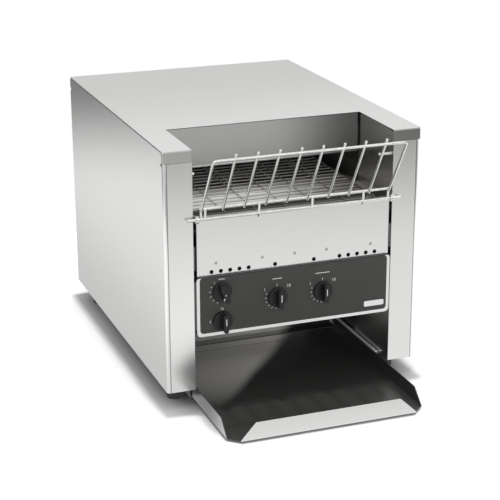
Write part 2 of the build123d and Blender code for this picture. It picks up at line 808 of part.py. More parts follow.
def drive_wheels():
    """Notched belt wheels, fixed on the drive shaft."""
    wheels = []
    step = 360 / belt_wheel_steps
    for x in spread(belt_wheels, belt_wheel_spread):
        x0, x1 = x - belt_wheel_width / 2, x + belt_wheel_width / 2
        wheel = rod_x(x0, x1, drive_y, shaft_z, wheel_radius)
        wheel -= rod_x(x0 - past, x1 + past, drive_y, shaft_z, shaft_radius + running)
        for i in range(belt_wheel_steps):
            angle = math.radians(90 + step * i)
            wheel -= rod_x(x0 - past, x1 + past, drive_y + wheel_radius * math.cos(angle),
                           shaft_z + wheel_radius * math.sin(angle), notch_radius)
        wheels.append(wheel)
    return wheels


def shaft_bushings():
    """Four flanged bushings in the chassis plates."""
    bushings = []
    for y in (idler_y, drive_y):
        body = rod_x(-chassis_outer - past, -chassis_inner + bearing_inner, y, shaft_z, bearing_radius)
        flange = rod_x(-chassis_outer - bearing_flange, -chassis_outer, y, shaft_z, bearing_flange_radius)
        bore = rod_x(-half, 0, y, shaft_z, shaft_radius + running)
        bushings += both_sides(body + flange - bore)
    return bushings


def belt_support():
    """Rails under the belt's top run on two cross bars between the chassis plates."""
    top = belt_under - seat
    foot = top - support_height
    back = drive_y - wheel_pitch_radius - support_back_gap
    front = feed_plate_back + support_front_gap
    reach = chassis_inner - seat
    pieces = []
    for x in spread(support_rails, support_spread):
        pieces.append(block(x - support_bar / 2, x + support_bar / 2, front, back, foot, top))
    for y in (front + cross_bar_front, back - cross_bar_back):
        pieces.append(block(-reach, reach, y, y + cross_bar, foot - cross_bar, foot + past))
    return pieces[0].fuse(*pieces[1:])


def feed_plate():
    """Bright plate under the belt where bread is laid on it, with lips folded down."""
    reach = gap_half - seat
    top = belt_under - seat
    plate = block(-reach, reach, feed_plate_front, feed_plate_back, top - sheet, top)
    for y in (feed_plate_front, feed_plate_back - sheet):
        plate += block(-reach, reach, y, y + sheet, top - feed_plate_lip, top)
    return plate


# ---- heating ----
def elements(z):
    """Straight sheathed heaters across the chamber, with a terminal pin at each end."""
    bars = []
    for y in element_ys:
        bar = rod_x(-element_half, element_half, y, z, element_radius)
        bars.append(bar + rod_x(-element_half - terminal_length, element_half + terminal_length,
                                y, z, terminal_radius))
    return bars


def element_insulators():
    """Ceramic bushes that carry the heaters in the chassis plates."""
    bushes = []
    for z in (upper_element_z, lower_element_z):
        for y in element_ys:
            body = rod_x(-chassis_outer - insulator_outer, -chassis_inner + insulator_inner,
                         y, z, insulator_radius)
            flange = rod_x(-chassis_outer - insulator_flange, -chassis_outer, y, z,
                           insulator_flange_radius)
            bore = rod_x(-half, 0, y, z, element_radius + running)
            bushes += both_sides(body + flange - bore)
    return bushes


def reflector(floor, rim):
    """Trough across the chamber; floor is the underside of its web, rim the free edge of its legs."""
    reach = chassis_inner - seat
    trough = block(-reach, reach, reflector_front, reflector_back, floor, floor + sheet)
    leg0, leg1 = sorted((rim, floor))
    for y in (reflector_front, reflector_back - sheet):
        trough += block(-reach, reach, y, y + sheet, leg0, leg1)
    return trough


def top_insulation():
    """Mineral-fibre blanket over the upper reflector."""
    z0 = upper_reflector_top + sheet + seat
    return block(-insulation_half, insulation_half, reflector_front + insulation_inset,
                 reflector_back - insulation_inset, z0, z0 + insulation_thick)


# ---- toast slide, tray and rails ----
def toast_slide():
    """Curved sheet behind and under the belt, which brings the toast back to the front."""
    angle = math.radians(slide_angle)
    corner_z = slide_end_z + (slide_back_y - slide_end_y) * math.tan(angle)
    toe = (slide_end_y - slide_toe, slide_end_z)
    path = FilletPolyline((slide_back_y, slide_top), (slide_back_y, corner_z),
                          (slide_end_y, slide_end_z), radius=slide_radius)
    path += Line((slide_end_y, slide_end_z), toe)
    band = trace(path, sheet)
    reach = chassis_inner - seat
    curved = Pos(-reach, 0, 0) * extrude(Plane.YZ * band, 2 * reach)
    low_half = pan_opening_half - slide_side_gap
    for side in (-1, 1):
        x0, x1 = sorted((side * low_half, side * half))
        curved -= block(x0, x1, 0, case_depth, -foot_height, pan_top + seat)
    return curved


def discharge_tray():
    """Folded tray: flat floor with clipped front corners, side walls and a trapezoid front lip."""
    floor_plan = Polygon((-tray_half, tray_back), (-tray_half, tray_corner_y),
                         (-tray_lip_half, -tray_reach), (tray_lip_half, -tray_reach),
                         (tray_half, tray_corner_y), (tray_half, tray_back), align=None)
    floor = Pos(0, 0, tray_floor) * extrude(floor_plan, tray_sheet)
    wall = plate_x([(tray_back, tray_floor), (tray_back, tray_wall_top), (tray_kink_y, tray_wall_top),
                    (tray_corner_y, tray_floor + tray_sheet), (tray_corner_y, tray_floor)],
                   -tray_half, -tray_half + tray_sheet)
    lip_face = make_face(Polyline((-tray_lip_half, -tray_reach, tray_floor),
                                  (tray_lip_half, -tray_reach, tray_floor),
                                  (tray_lip_top_half, -tray_reach + tray_lip_lean, tray_lip_top),
                                  (-tray_lip_top_half, -tray_reach + tray_lip_lean, tray_lip_top),
                                  close=True))
    lip = extrude(lip_face, tray_sheet, dir=(0, 1, 0))
    return floor.fuse(*both_sides(wall), lip)


def tray_rails():
    """C-shaped runners under the base pan: a ledge below the tray and a lip above its walls."""
    wall = tray_half + rail_gap
    outer = wall + sheet
    foot = tray_floor - seat - sheet
    top = pan_under - seat
    rail = block(-outer, -wall, rail_front, rail_back, foot, top)
    rail += block(-outer, -outer + rail_ledge, rail_front, rail_back, foot, foot + sheet)
    rail += block(-outer - rail_flange, -outer + rail_lip, rail_front, rail_back, top - sheet / 2, top)
    return both_sides(rail)


# ---- drive ----
def sprocket(y, z, teeth, pitch_radius, bore_radius, hub_side):
    """Chain wheel with a hub; its teeth are cut down so that they clear the chain's rollers."""
    tip = pitch_radius * math.cos(math.pi / teeth) - chain_roller_radius - belt_clear
    x0, x1 = chain_x - sprocket_thick / 2, chain_x + sprocket_thick / 2
    wheel = rod_x(x0, x1, y, z, tip)
    for i in range(teeth):
        angle = 2 * math.pi * (i + 0.5) / teeth
        wheel -= rod_x(x0 - past, x1 + past, y + tip * math.cos(angle), z + tip * math.sin(angle),
                       chain_roller_radius / 2)
    h0, h1 = sorted((chain_x, chain_x + hub_side * (sprocket_thick / 2 + hub_length)))
    wheel += rod_x(h0, h1, y, z, min(hub_radius, tip - hub_rim))
    return wheel - rod_x(0, half, y, z, bore_radius + running)


def chain_points():
    """Centres (y, z) of the chain's rollers, evenly spaced round the two wheels."""
    r0, r1 = motor_pitch_radius, drive_pitch_radius
    dy, dz = drive_y - motor_shaft_y, shaft_z - motor_shaft_z
    centres = math.hypot(dy, dz)
    heading = math.atan2(dz, dy)
    wrap = math.asin((r1 - r0) / centres)
    straight = math.sqrt(centres ** 2 - (r1 - r0) ** 2)
    arc0, arc1 = r0 * (math.pi - 2 * wrap), r1 * (math.pi + 2 * wrap)
    length = 2 * straight + arc0 + arc1
    count = round(length / chain_pitch)
    points = []
    for i in range(count):
        s = length * i / count
        if s < straight:
            angle = heading - math.pi / 2 - wrap
            y = motor_shaft_y + r0 * math.cos(angle) + s * math.cos(angle + math.pi / 2)
            z = motor_shaft_z + r0 * math.sin(angle) + s * math.sin(angle + math.pi / 2)
        elif s < straight + arc1:
            angle = heading - math.pi / 2 - wrap + (s - straight) / r1
            y, z = drive_y + r1 * math.cos(angle), shaft_z + r1 * math.sin(angle)
        elif s < 2 * straight + arc1:
            angle = heading + math.pi / 2 + wrap
            t = s - straight - arc1
            y = drive_y + r1 * math.cos(angle) + t * math.cos(angle + math.pi / 2)
            z = shaft_z + r1 * math.sin(angle) + t * math.sin(angle + math.pi / 2)
        else:
            angle = heading + math.pi / 2 + wrap + (s - 2 * straight - arc1) / r0
            y, z = motor_shaft_y + r0 * math.cos(angle), motor_shaft_z + r0 * math.sin(angle)
        points.append((y, z))
    return points


def drive_chain():
    """Roller chain: rollers between two bands of side plates."""
    points = chain_points()
    loop = make_face(Polyline(*[(0, y, z) for y, z in points], close=True))
    band = extrude(offset(loop, chain_plate_half, kind=Kind.ARC)
                   - offset(loop, -chain_plate_half, kind=Kind.INTERSECTION), chain_plate, dir=(1, 0, 0))
    inner = chain_inner_width / 2
    plates = [Pos(chain_x + inner, 0, 0) * band, Pos(chain_x - inner - chain_plate, 0, 0) * band]
    rollers = [rod_x(chain_x - inner - chain_plate / 2, chain_x + inner + chain_plate / 2, y, z,
                     chain_roller_radius) for y, z in points]
    return plates[0].fuse(plates[1], *rollers)


def gearmotor():
    """Gearbox with a round motor on it, which drives the chain through the right chassis plate."""
    x1 = chassis_inner - motor_gap
    x0 = x1 - gearbox_width
    size = gearbox_size / 2
    y, z = motor_shaft_y, motor_shaft_z
    box = block(x0, x1, y - size, y + size, z - size, z + size)
    box = fillet(box.edges().filter_by(Axis.X), gearbox_edge)
    can = rod_x(x0 - motor_length, x0 + past, y, z, motor_radius)
    boss = rod_x(x1 - past, x1 + gearbox_boss, y, z, gearbox_boss_radius)
    bore = rod_x(x1 - gearbox_bore, half, y, z, motor_shaft_radius + running)
    return box + can + boss - bore


def motor_bracket():
    """Angle between gearbox and base pan."""
    x0 = chassis_inner - motor_gap - gearbox_width
    x1 = x0 + gearbox_width
    y0, y1 = motor_shaft_y - gearbox_size / 2, motor_shaft_y + gearbox_size / 2
    foot = pan_top + seat
    under = motor_shaft_z - gearbox_size / 2 - seat
    bracket = block(x0, x1, y0, y1, foot, foot + bracket_thick)
    for y in (y0 + bracket_web_inset, y1 - bracket_web_inset - bracket_thick):
        bracket += block(x0 + bracket_web_side, x1 - bracket_web_side, y, y + bracket_thick, foot, under)
    return bracket


def motor_shaft():
    """Gearbox output shaft with the small chain wheel's seat."""
    x0 = chassis_inner - motor_gap - gearbox_bore + seat
    x1 = chain_x + sprocket_thick / 2 + hub_length
    return rod_x(x0, x1, motor_shaft_y, motor_shaft_z, motor_shaft_radius)


# ---- fan, gland and electrics ----
def fan_screw_places():
    reach = fan_screw_pitch / 2
    return [(fan_x + sx * reach, fan_z + sz * reach) for sx in (-1, 1) for sz in (-1, 1)]


def back_screw_places():
    """Screws along the upright edges of the back panel."""
    return [(side * (half - 2 * sheet - back_screw_inset), case_height * rise)
            for side in (-1, 1) for rise in back_screw_rises]


def cooling_fan():
    """Square fan housing with a round bore, a hub plate on three arms and a blind bearing bore."""
    y1 = case_depth - sheet - seat
    y0 = y1 - fan_depth
    size = fan_size / 2
    housing = block(fan_x - size, fan_x + size, y0, y1, fan_z - size, fan_z + size)
    housing -= rod_y(fan_x, y0 - past, y1 + past, fan_z, fan_bore)
    for x, z in fan_screw_places():
        housing -= rod_y(x, y0 - past, y1 + past, z, screw_radius + running)
    for i in range(fan_arms):
        arm = block(-fan_arm_width / 2, fan_arm_width / 2, y0, y0 + fan_arm_thick, 0, fan_bore + past)
        housing += Pos(fan_x, 0, fan_z) * Rot(0, 360 / fan_arms * i, 0) * arm
    housing += rod_y(fan_x, y0, y0 + fan_hub_plate, fan_z, fan_hub_radius)
    return housing - rod_y(fan_x, y0 + sheet, y1, fan_z, fan_pin_radius + running)


def fan_rotor():
    """Hub with twisted blades on a pin that turns in the housing's hub plate."""
    y0 = case_depth - sheet - seat - fan_depth + fan_hub_plate + fan_hub_gap
    y1 = case_depth - sheet - fan_hub_back
    rotor = rod_y(fan_x, y0, y1, fan_z, fan_hub_radius)
    length = fan_blade_tip - fan_hub_radius + fan_blade_root
    reach = (fan_blade_tip + fan_hub_radius - fan_blade_root) / 2
    for i in range(fan_blades):
        blade = Pos(reach, 0, 0) * Rot(fan_blade_twist, 0, 0) * Box(length, fan_blade_thick, fan_blade_depth)
        turned = Rot(90, 0, 0) * Rot(0, 0, 360 / fan_blades * i) * blade
        rotor += Pos(fan_x, (y0 + y1) / 2, fan_z) * turned
    rotor &= rod_y(fan_x, y0, y1, fan_z, fan_blade_tip)
    return rotor + rod_y(fan_x, y0 - fan_pin_length, y0 + past, fan_z, fan_pin_radius)


def fan_guard():
    """Stamped finger guard on the outside of the back panel: rings, four arms and four eyes."""
    outline = Sketch()
    for ring in range(1, guard_rings + 1):
        radius = fan_bore * ring / guard_rings
        outline += Circle(radius + guard_wire) - Circle(radius - guard_wire)
    reach = fan_screw_pitch / 2
    for i in range(4):
        arm = Pos(reach * math.sqrt(2) / 2, 0) * Rectangle(reach * math.sqrt(2), 2 * guard_wire)
        outline += Rot(0, 0, 45 + 90 * i) * arm
    outline -= Circle(fan_bore / guard_rings - guard_wire)
    for sx in (-1, 1):
        for sz in (-1, 1):
            outline += Pos(sx * reach, sz * reach) * Circle(screw_head_radius)
    for sx in (-1, 1):
        for sz in (-1, 1):
            outline -= Pos(sx * reach, sz * reach) * Circle(screw_radius + running)
    return plate_y(Pos(fan_x, fan_z) * outline, case_depth, case_depth + guard_thick)


def cord_gland():
    """Gland for the supply cord, with an open bore."""
    outside = rod_y(gland_x, case_depth, case_depth + gland_length, gland_z, gland_radius)
    outside = fillet(outside.edges().group_by(Axis.Y)[-1], gland_edge)
    inside = case_depth - sheet
    thread = rod_y(gland_x, inside - gland_thread, case_depth + past, gland_z, gland_thread_radius)
    nut_sketch = Pos(gland_x, gland_z) * RegularPolygon(gland_radius, 6)
    nut = plate_y(nut_sketch, inside - gland_nut, inside)
    bore = rod_y(gland_x, 0, 2 * case_depth, gland_z, gland_bore)
    return outside + thread + nut - bore


def terminal_block():
    """Connector on the base pan near the gland, one screw to each way."""
    x0, z0 = -half + sheet + terminal_from_side, pan_top + seat
    y1 = case_depth - terminal_from_back
    y0 = y1 - terminal_ways * terminal_pitch
    top = z0 + terminal_base
    middle = x0 + terminal_width / 2
    body = block(x0, x0 + terminal_width, y0, y1, z0, top)
    for i in range(terminal_ways):
        y = y0 + terminal_pitch * (i + 0.5)
        body += block(middle - terminal_head_width / 2, middle + terminal_head_width / 2,
                      y - terminal_head_length / 2, y + terminal_head_length / 2,
                      top - past, top + terminal_head)
        body -= rod_z(middle, y, top, top + 2 * terminal_head, terminal_screw_radius)
    return body


def limit_thermostat():
    """Snap-disc limiter on the outside of the left chassis plate, above the chamber."""
    y, z = element_ys[1] + element_pitch / 2, upper_element_z + limiter_rise
    x1 = -chassis_outer - seat
    x0 = x1 - limiter_plate - limiter_length
    body = rod_x(x0, x1 - limiter_plate, y, z, limiter_radius)
    body += block(x1 - limiter_plate, x1, y - limiter_plate_length / 2, y + limiter_plate_length / 2,
                  z - limiter_plate_height / 2, z + limiter_plate_height / 2)
    for place in (-limiter_radius / 2, limiter_radius / 2):
        body += block(x0 - limiter_tab_length, x0 + past, y + place - limiter_plate / 2,
                      y + place + limiter_plate / 2, z - limiter_tab_width / 2, z + limiter_tab_width / 2)
    return body


def speed_board():
    """Circuit board on four posts in the control box, with its larger components."""
    z0, z1 = box_foot + board_inset, box_top - board_inset
    x1 = box_half - board_from_side
    x0 = x1 - board_width
    y0 = box_front + sheet + seat
    y1 = y0 + board_standoff
    y2 = y1 + board_thick
    board = block(x0, x1, y1, y2, z0, z1)
    for x in (x0 + board_post_inset, x1 - board_post_inset):
        for z in (z0 + board_post_inset, z1 - board_post_inset):
            board += rod_y(x, y0, y1 + board_thick / 2, z, board_post_radius)
    left, low = x0 + board_heat_sink / 2, z0 + board_heat_sink / 2
    board += block(left, left + board_heat_sink, y1, y2 + board_heat_sink_height,
                   low, low + board_heat_sink)
    board += rod_y((x0 + x1) / 2 + board_inset, y1, y2 + board_capacitor_height,
                   (z0 + z1) / 2 - board_post_inset, board_capacitor_radius)
    plug_top = z1 - board_plug_height
    board += block(left, x1 - board_plug_height, y1, y2 + board_plug_depth,
                   plug_top - board_plug_height, plug_top)
    return board


# ---- feet and screws ----
def foot_places():
    xs = (-half + foot_inset_side, half - foot_inset_side)
    return [(x, y) for x in xs for y in (foot_inset_end, case_depth - foot_inset_end)]


def rubber_feet():
    """Four feet under the base pan, with a hole for the screw from above."""
    feet = []
    for x, y in foot_places():
        body = Pos(x, y, (sheet - foot_height) / 2) * Cone(foot_radius - foot_taper, foot_radius,
                                                           foot_height + sheet)
        feet.append(body - rod_z(x, y, -foot_hole_depth, foot_height, screw_radius + running))
    return feet


def case_screws():
    """Screws of the feet, the back panel and the fan."""
    screws = []
    for x, y in foot_places():
        screws.append(rod_z(x, y, -foot_screw_depth, pan_top + past, screw_radius)
                      + rod_z(x, y, pan_top, pan_top + screw_head, screw_head_radius))
    inside = case_depth - sheet
    for x, z in back_screw_places():
        screws.append(rod_y(x, inside - back_screw_depth, case_depth + past, z, screw_radius)
                      + rod_y(x, case_depth, case_depth + screw_head, z, screw_head_radius))
    seat_y = case_depth + guard_thick
    for x, z in fan_screw_places():
        screws.append(rod_y(x, inside - fan_screw_depth, seat_y + past, z, screw_radius)
                      + rod_y(x, seat_y, seat_y + screw_head, z, screw_head_radius))
    return screws


def build():
    os.makedirs("parts", exist_ok=True)
    left = side_panel()
    put("left_side_panel", left)
    put("right_side_panel", mirror(left, about=Plane.YZ))
    put("top_panel", top_panel())
    put("recess_back_wall", recess_back_wall())
    put("back_panel", back_panel())
    put("base_pan", base_pan())
    put("left_chassis_plate", chassis_plate())
    put("right_chassis_plate", right_chassis_plate())
    put("front_panel", front_panel())
    put("control_box", control_box())
    put("box_brackets", *box_brackets())
    put("control_overlay", control_overlay())
    put("blank_badge", blank_badge())
    for name, (x, z) in knob_places.items():
        put(name + "_knob", knob(x, z, speed_dial_angle if name == "speed" else 0))
        put(name + "_shaft", dial_shaft(x, z))
    put("speed_control", control_body(*knob_places["speed"], Circle(speed_control_radius),
                                      speed_control_depth))
    put("power_switch", control_body(*knob_places["power"],
                                     RectangleRounded(switch_size, switch_size, control_edge),
                                     switch_depth))
    regulator = RectangleRounded(heat_control_width, heat_control_height, control_edge)
    for name in ("top_heat", "bottom_heat"):
        put(name + "_control", control_body(*knob_places[name], regulator, heat_control_depth))
    put("feed_rack", feed_rack())
    put("pivot_ears", *pivot_ears())
    put("pivot_bushes", *pivot_bushes())
    put("conveyor_belt", conveyor_belt())
    put("idler_shaft", shaft(idler_y, shaft_half))
    put("idler_roller", idler_roller())
    put("drive_shaft", shaft(drive_y, chain_x + sprocket_thick / 2 + hub_length))
    put("drive_wheels", *drive_wheels())
    put("shaft_bushings", *shaft_bushings())
    put("belt_support", belt_support())
    put("feed_plate", feed_plate())
    put("upper_elements", *elements(upper_element_z))
    put("lower_elements", *elements(lower_element_z))
    put("element_insulators", *element_insulators())
    put("upper_reflector", reflector(upper_reflector_top, upper_reflector_top - upper_reflector_depth))
    put("lower_reflector", reflector(lower_reflector_floor,
                                     lower_reflector_floor + lower_reflector_depth))
    put("top_insulation", top_insulation())
    put("toast_slide", toast_slide())
    put("discharge_tray", discharge_tray())
    put("tray_rails", *tray_rails())
    put("gearmotor", gearmotor())
    put("motor_bracket", motor_bracket())
    put("motor_shaft", motor_shaft())
    put("motor_sprocket", sprocket(motor_shaft_y, motor_shaft_z, motor_teeth, motor_pitch_radius,
                                   motor_shaft_radius, 1))
    put("drive_sprocket", sprocket(drive_y, shaft_z, drive_teeth, drive_pitch_radius, shaft_radius, 1))
    put("drive_chain", drive_chain())
    put("cooling_fan", cooling_fan())
    put("fan_rotor", fan_rotor())
    put("fan_guard", fan_guard())
    put("cord_gland", cord_gland())
    put("terminal_block", terminal_block())
    put("limit_thermostat", limit_thermostat())
    put("speed_board", speed_board())
    put("rubber_feet", *rubber_feet())
    put("case_screws", *case_screws())


build()
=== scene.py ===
import math

import bmesh
import bpy
from mathutils import Matrix, Vector


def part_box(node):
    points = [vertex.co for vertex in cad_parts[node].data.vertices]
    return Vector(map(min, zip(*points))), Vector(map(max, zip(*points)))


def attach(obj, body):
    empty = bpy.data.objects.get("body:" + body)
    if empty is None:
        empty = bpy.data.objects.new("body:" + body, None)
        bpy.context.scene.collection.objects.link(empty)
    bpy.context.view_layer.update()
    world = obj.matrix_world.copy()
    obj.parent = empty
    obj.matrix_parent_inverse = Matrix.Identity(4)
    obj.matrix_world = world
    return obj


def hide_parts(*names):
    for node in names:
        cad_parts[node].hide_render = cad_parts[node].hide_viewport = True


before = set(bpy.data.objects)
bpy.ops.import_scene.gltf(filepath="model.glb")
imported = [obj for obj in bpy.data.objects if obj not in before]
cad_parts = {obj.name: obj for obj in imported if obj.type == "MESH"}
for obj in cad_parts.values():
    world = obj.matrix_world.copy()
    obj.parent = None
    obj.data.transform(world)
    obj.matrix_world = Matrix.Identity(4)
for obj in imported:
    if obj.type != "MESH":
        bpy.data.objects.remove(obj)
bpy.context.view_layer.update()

# ---- Base pan and inner plates ----
# The chassis is folded from brushed stainless sheet: a floor pan, two upright plates that carry the
# shafts and the heaters, and the spacers that hold the control box. Its dark grey is painted shade, and
# it is painted lighter as painted light up in the feed opening and over the tray, where it is also less
# metallic.


class Wire:
    """One output of a node: arithmetic on it adds Math nodes, so a pattern reads as a formula."""

    def __init__(self, graph, socket):
        self.graph = graph
        self.socket = socket

    def maths(self, operation, *values):
        return self.graph.node("Math", {"operation": operation}, dict(enumerate(values)))

    def __abs__(self):
        return self.maths("ABSOLUTE", self)

    def __add__(self, other):
        return self.maths("ADD", self, other)

    def __radd__(self, other):
        return self.maths("ADD", other, self)

    def __sub__(self, other):
        return self.maths("SUBTRACT", self, other)

    def __rsub__(self, other):
        return self.maths("SUBTRACT", other, self)

    def __mul__(self, other):
        return self.maths("MULTIPLY", self, other)

    def __rmul__(self, other):
        return self.maths("MULTIPLY", other, self)

    def __gt__(self, other):
        return self.maths("GREATER_THAN", self, other)

    def __lt__(self, other):
        return self.maths("LESS_THAN", self, other)


class Graph:
    """A node tree; every node that is added to it comes from node()."""

    def __init__(self, tree):
        self.tree = tree

    def node(self, kind, settings, inputs, output=0):
        made = self.tree.nodes.new("ShaderNode" + kind)
        for setting, value in settings.items():
            setattr(made, setting, value)
        for socket, value in inputs.items():
            self.join(value, made.inputs[socket])
        return Wire(self, made.outputs[output])

    def join(self, value, socket):
        if isinstance(value, Wire):
            self.tree.links.new(value.socket, socket)
        else:
            socket.default_value = value

    def blend(self, mask, first, second):
        """Colour that goes from first to second as mask goes from 0 to 1."""
        return self.node("Mix", {"data_type": "RGBA", "clamp_factor": True},
                         {"Factor": mask, 6: first, 7: second}, 2)

    def ramp(self, value, low, high):
        """0 where value is under low, 1 where it is over high, and smooth between them."""
        return self.node("MapRange", {"clamp": True, "interpolation_type": "SMOOTHSTEP"},
                         {"Value": value, "From Min": low, "From Max": high}, "Result")


class Finish(Graph):
    """One material, built on a Principled surface."""

    def __init__(self, name, **surface):
        self.material = bpy.data.materials.new(name)
        self.material.use_nodes = True
        super().__init__(self.material.node_tree)
        self.surface = self.tree.nodes["Principled BSDF"]
        self.tone = surface["Base_Color"]
        self.material.diffuse_color = self.tone
        for socket, value in surface.items():
            self.surface.inputs[socket.replace("_", " ")].default_value = value

    def feed(self, **values):
        """Link patterns to the surface's own sockets."""
        for socket, value in values.items():
            self.join(value, self.surface.inputs[socket.replace("_", " ")])

    def shade(self, mask, colour):
        """Lay a colour over the ones laid before, where mask is 1."""
        self.tone = self.blend(mask, self.tone, colour)
        self.feed(Base_Color=self.tone)

    def mottle(self, mask, dark, light):
        """Start the colour anew, as a pattern from dark to light."""
        self.tone = dark
        self.shade(mask, light)

    def place(self):
        """Where a point is on the toaster at rest, in metres."""
        return self.node("TexCoord", {}, {}, "Object")

    def axis(self, name):
        return self.node("SeparateXYZ", {}, {0: self.place()}, name)

    def stretched(self, scale):
        """The same place, stretched or squeezed along each axis."""
        return self.node("Mapping", {}, {"Vector": self.place(), "Scale": scale})

    def noise(self, scale, detail, roughness, where=None):
        return self.node("TexNoise", {}, {"Vector": where or self.place(), "Scale": scale,
                                          "Detail": detail, "Roughness": roughness})

    def bump(self, height, depth, strength):
        return self.node("Bump", {}, {"Strength": strength, "Distance": depth, "Height": height})


def brushed(name, grain, grey, roughness, metallic=1.0):
    """Brushed stainless steel whose grain runs along one axis: grain is "x", "y" or "z"."""
    lines_across, lines_along = 900.0, 9.0
    contrast, blue_share = 0.06, 0.985
    scale = [lines_along if axis == grain else lines_across for axis in "xyz"]
    dark, middle, light = [(level, level, level * blue_share, 1)
                           for level in (grey * (1 - contrast), grey, grey * (1 + contrast))]
    steel = Finish(name, Metallic=metallic, Base_Color=middle)
    fine = steel.noise(1.0, 2.0, 0.6, steel.stretched(scale))
    broad = steel.noise(7.0, 2.0, 0.5)
    steel.mottle(fine * 0.5 + broad * 0.3 + 0.10, dark, light)
    steel.feed(Roughness=fine * 0.06 + broad * 0.06 + (roughness - 0.06),
               Normal=steel.bump(fine, 0.00001, 0.08))
    return steel


def dress(material, *nodes):
    """Give whole CAD nodes one finish."""
    for node in nodes:
        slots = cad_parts[node].data.materials
        slots.clear()
        slots.append(material)


# Painted shade: the inner steel's dark grey stands for the shade inside the casing.
inner_steel = brushed("brushed_steel_inner", "x", 0.28, 0.38)
opening_painted_light = (0.38, 0.38, 0.375, 1)
tray_ledge_painted_light = (0.80, 0.80, 0.79, 1)
wall_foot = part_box("recess_back_wall")[0].z
opening_rise = 0.05
tray_gap, rim_height = 0.0015, 0.004
ledge_matte_share = 0.9
tray_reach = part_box("discharge_tray")[1].x + tray_gap
rim_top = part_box("base_pan")[0].z + rim_height
in_opening = inner_steel.ramp(inner_steel.axis("Z"), wall_foot, wall_foot + opening_rise)
over_tray = ((abs(inner_steel.axis("X")) < tray_reach) * (inner_steel.axis("Z") < rim_top)
             * (inner_steel.axis("Y") < 0))
# Painted light: lighter up in the feed opening, and lighter and less metallic over the tray.
inner_steel.shade(in_opening, opening_painted_light)
inner_steel.shade(over_tray, tray_ledge_painted_light)
inner_steel.feed(Metallic=1 - over_tray * ledge_matte_share)
dress(inner_steel.material, "base_pan", "left_chassis_plate", "right_chassis_plate", "box_brackets")

# ---- Rubber feet ----
# Four tapered feet of black moulded rubber, dusty from the counter. Each is held by a screw that comes
# down through the base pan.
rubber = Finish("black_rubber", Base_Color=(0.018, 0.018, 0.018, 1), Roughness=0.8)
dust = rubber.noise(180.0, 4.0, 0.6)
rubber.mottle(dust, (0.012, 0.012, 0.012, 1), (0.045, 0.044, 0.042, 1))
rubber.feed(Roughness=dust * 0.2 + 0.68, Normal=rubber.bump(dust, 0.0001, 0.4))
dress(rubber.material, "rubber_feet")

# ---- Tray rails ----
# Two C-shaped runners of folded steel under the base pan, which the tray slides in. They are painted
# dark grey and matte as painted shade.
# Painted shade: a dark, matte steel for the rails and the idler roller.
painted_shade_steel = brushed("painted_shade_steel", "y", 0.20, 0.6, metallic=0.2)
dress(painted_shade_steel.material, "tray_rails")

# ---- Shafts and drive ----
# Two turned shafts run in flanged bronze bushings: the front one carries a tube roller, the rear one
# notched belt wheels. A painted gearmotor on an angle bracket turns the rear one by sprockets and a
# roller chain, which keep a film of oil.
machined = Finish("machined_steel", Metallic=1.0, Base_Color=(0.42, 0.42, 0.41, 1), Roughness=0.35)
turning = machined.noise(1.0, 2.0, 0.5, machined.stretched((700.0, 40.0, 40.0)))
machined.mottle(turning, (0.34, 0.34, 0.33, 1), (0.52, 0.52, 0.51, 1))
machined.feed(Roughness=turning * 0.2 + 0.25)
dress(machined.material, "idler_shaft", "drive_shaft", "drive_wheels", "motor_shaft", "motor_sprocket",
      "drive_sprocket", "drive_chain", "motor_bracket")
# The idler roller takes the same dark steel, as painted shade round the belt's front turn.
dress(painted_shade_steel.material, "idler_roller")

bronze = Finish("sintered_bronze", Metallic=0.9, Base_Color=(0.45, 0.30, 0.13, 1), Roughness=0.5)
pores = bronze.noise(900.0, 2.0, 0.5)
bronze.mottle(pores, (0.36, 0.23, 0.09, 1), (0.56, 0.39, 0.18, 1))
dress(bronze.material, "shaft_bushings")

motor_paint = Finish("motor_paint", Base_Color=(0.07, 0.08, 0.09, 1), Roughness=0.45)
orange_peel = motor_paint.noise(320.0, 2.0, 0.5)
motor_paint.feed(Roughness=orange_peel * 0.15 + 0.35, Normal=motor_paint.bump(orange_peel, 0.00004, 0.4))
dress(motor_paint.material, "gearmotor")

# ---- Conveyor belt and feed plate ----
# The belt is stainless wire: cross wires joined by narrow strands, whose top run slides on rails between
# the inner plates. A folded plate lies under it where the bread is laid on. Both are painted darker
# towards the right and the front of the opening as painted shade; the belt is also painted black round
# its front turn and darker inside the chamber, and the plate black on its front lip, as painted shade.


def paint_opening_shade(finish, right_shade):
    """Painted shade: darker towards the right and towards the front, on what lies in the feed opening."""
    lit_until, shade_from = -0.05, 0.15
    front_shade_full, front_shade_end = -0.088, -0.066
    front_shade_share = 0.42
    finish.shade(finish.ramp(finish.axis("X"), lit_until, shade_from), right_shade)
    front_shaded = 1 - finish.ramp(finish.axis("Y"), front_shade_full, front_shade_end)
    finish.shade(front_shaded * front_shade_share, (0, 0, 0, 1))


belt_wire = Finish("belt_wire", Metallic=0.6, Base_Color=(0.5, 0.49, 0.47, 1), Roughness=0.35)
front_turn_painted_shade = (0.12, 0.12, 0.115, 1)
chamber_painted_shade = (0.60, 0.58, 0.55, 1)
front_turn_start, front_turn_end = -0.130, -0.122
chamber_start, chamber_end = -0.085, -0.045
heat = belt_wire.noise(24.0, 3.0, 0.6)
belt_wire.mottle(heat, (0.86, 0.85, 0.82, 1), (0.97, 0.96, 0.93, 1))
# Painted shade towards the right and the front, then round the front turn and inside the chamber.
paint_opening_shade(belt_wire, (0.18, 0.17, 0.16, 1))
belt_wire.shade(1 - belt_wire.ramp(belt_wire.axis("Y"), front_turn_start, front_turn_end), front_turn_painted_shade)
belt_wire.shade(belt_wire.ramp(belt_wire.axis("Y"), chamber_start, chamber_end), chamber_painted_shade)
belt_wire.feed(Roughness=heat * 0.2 + 0.42)
dress(belt_wire.material, "conveyor_belt", "belt_support")

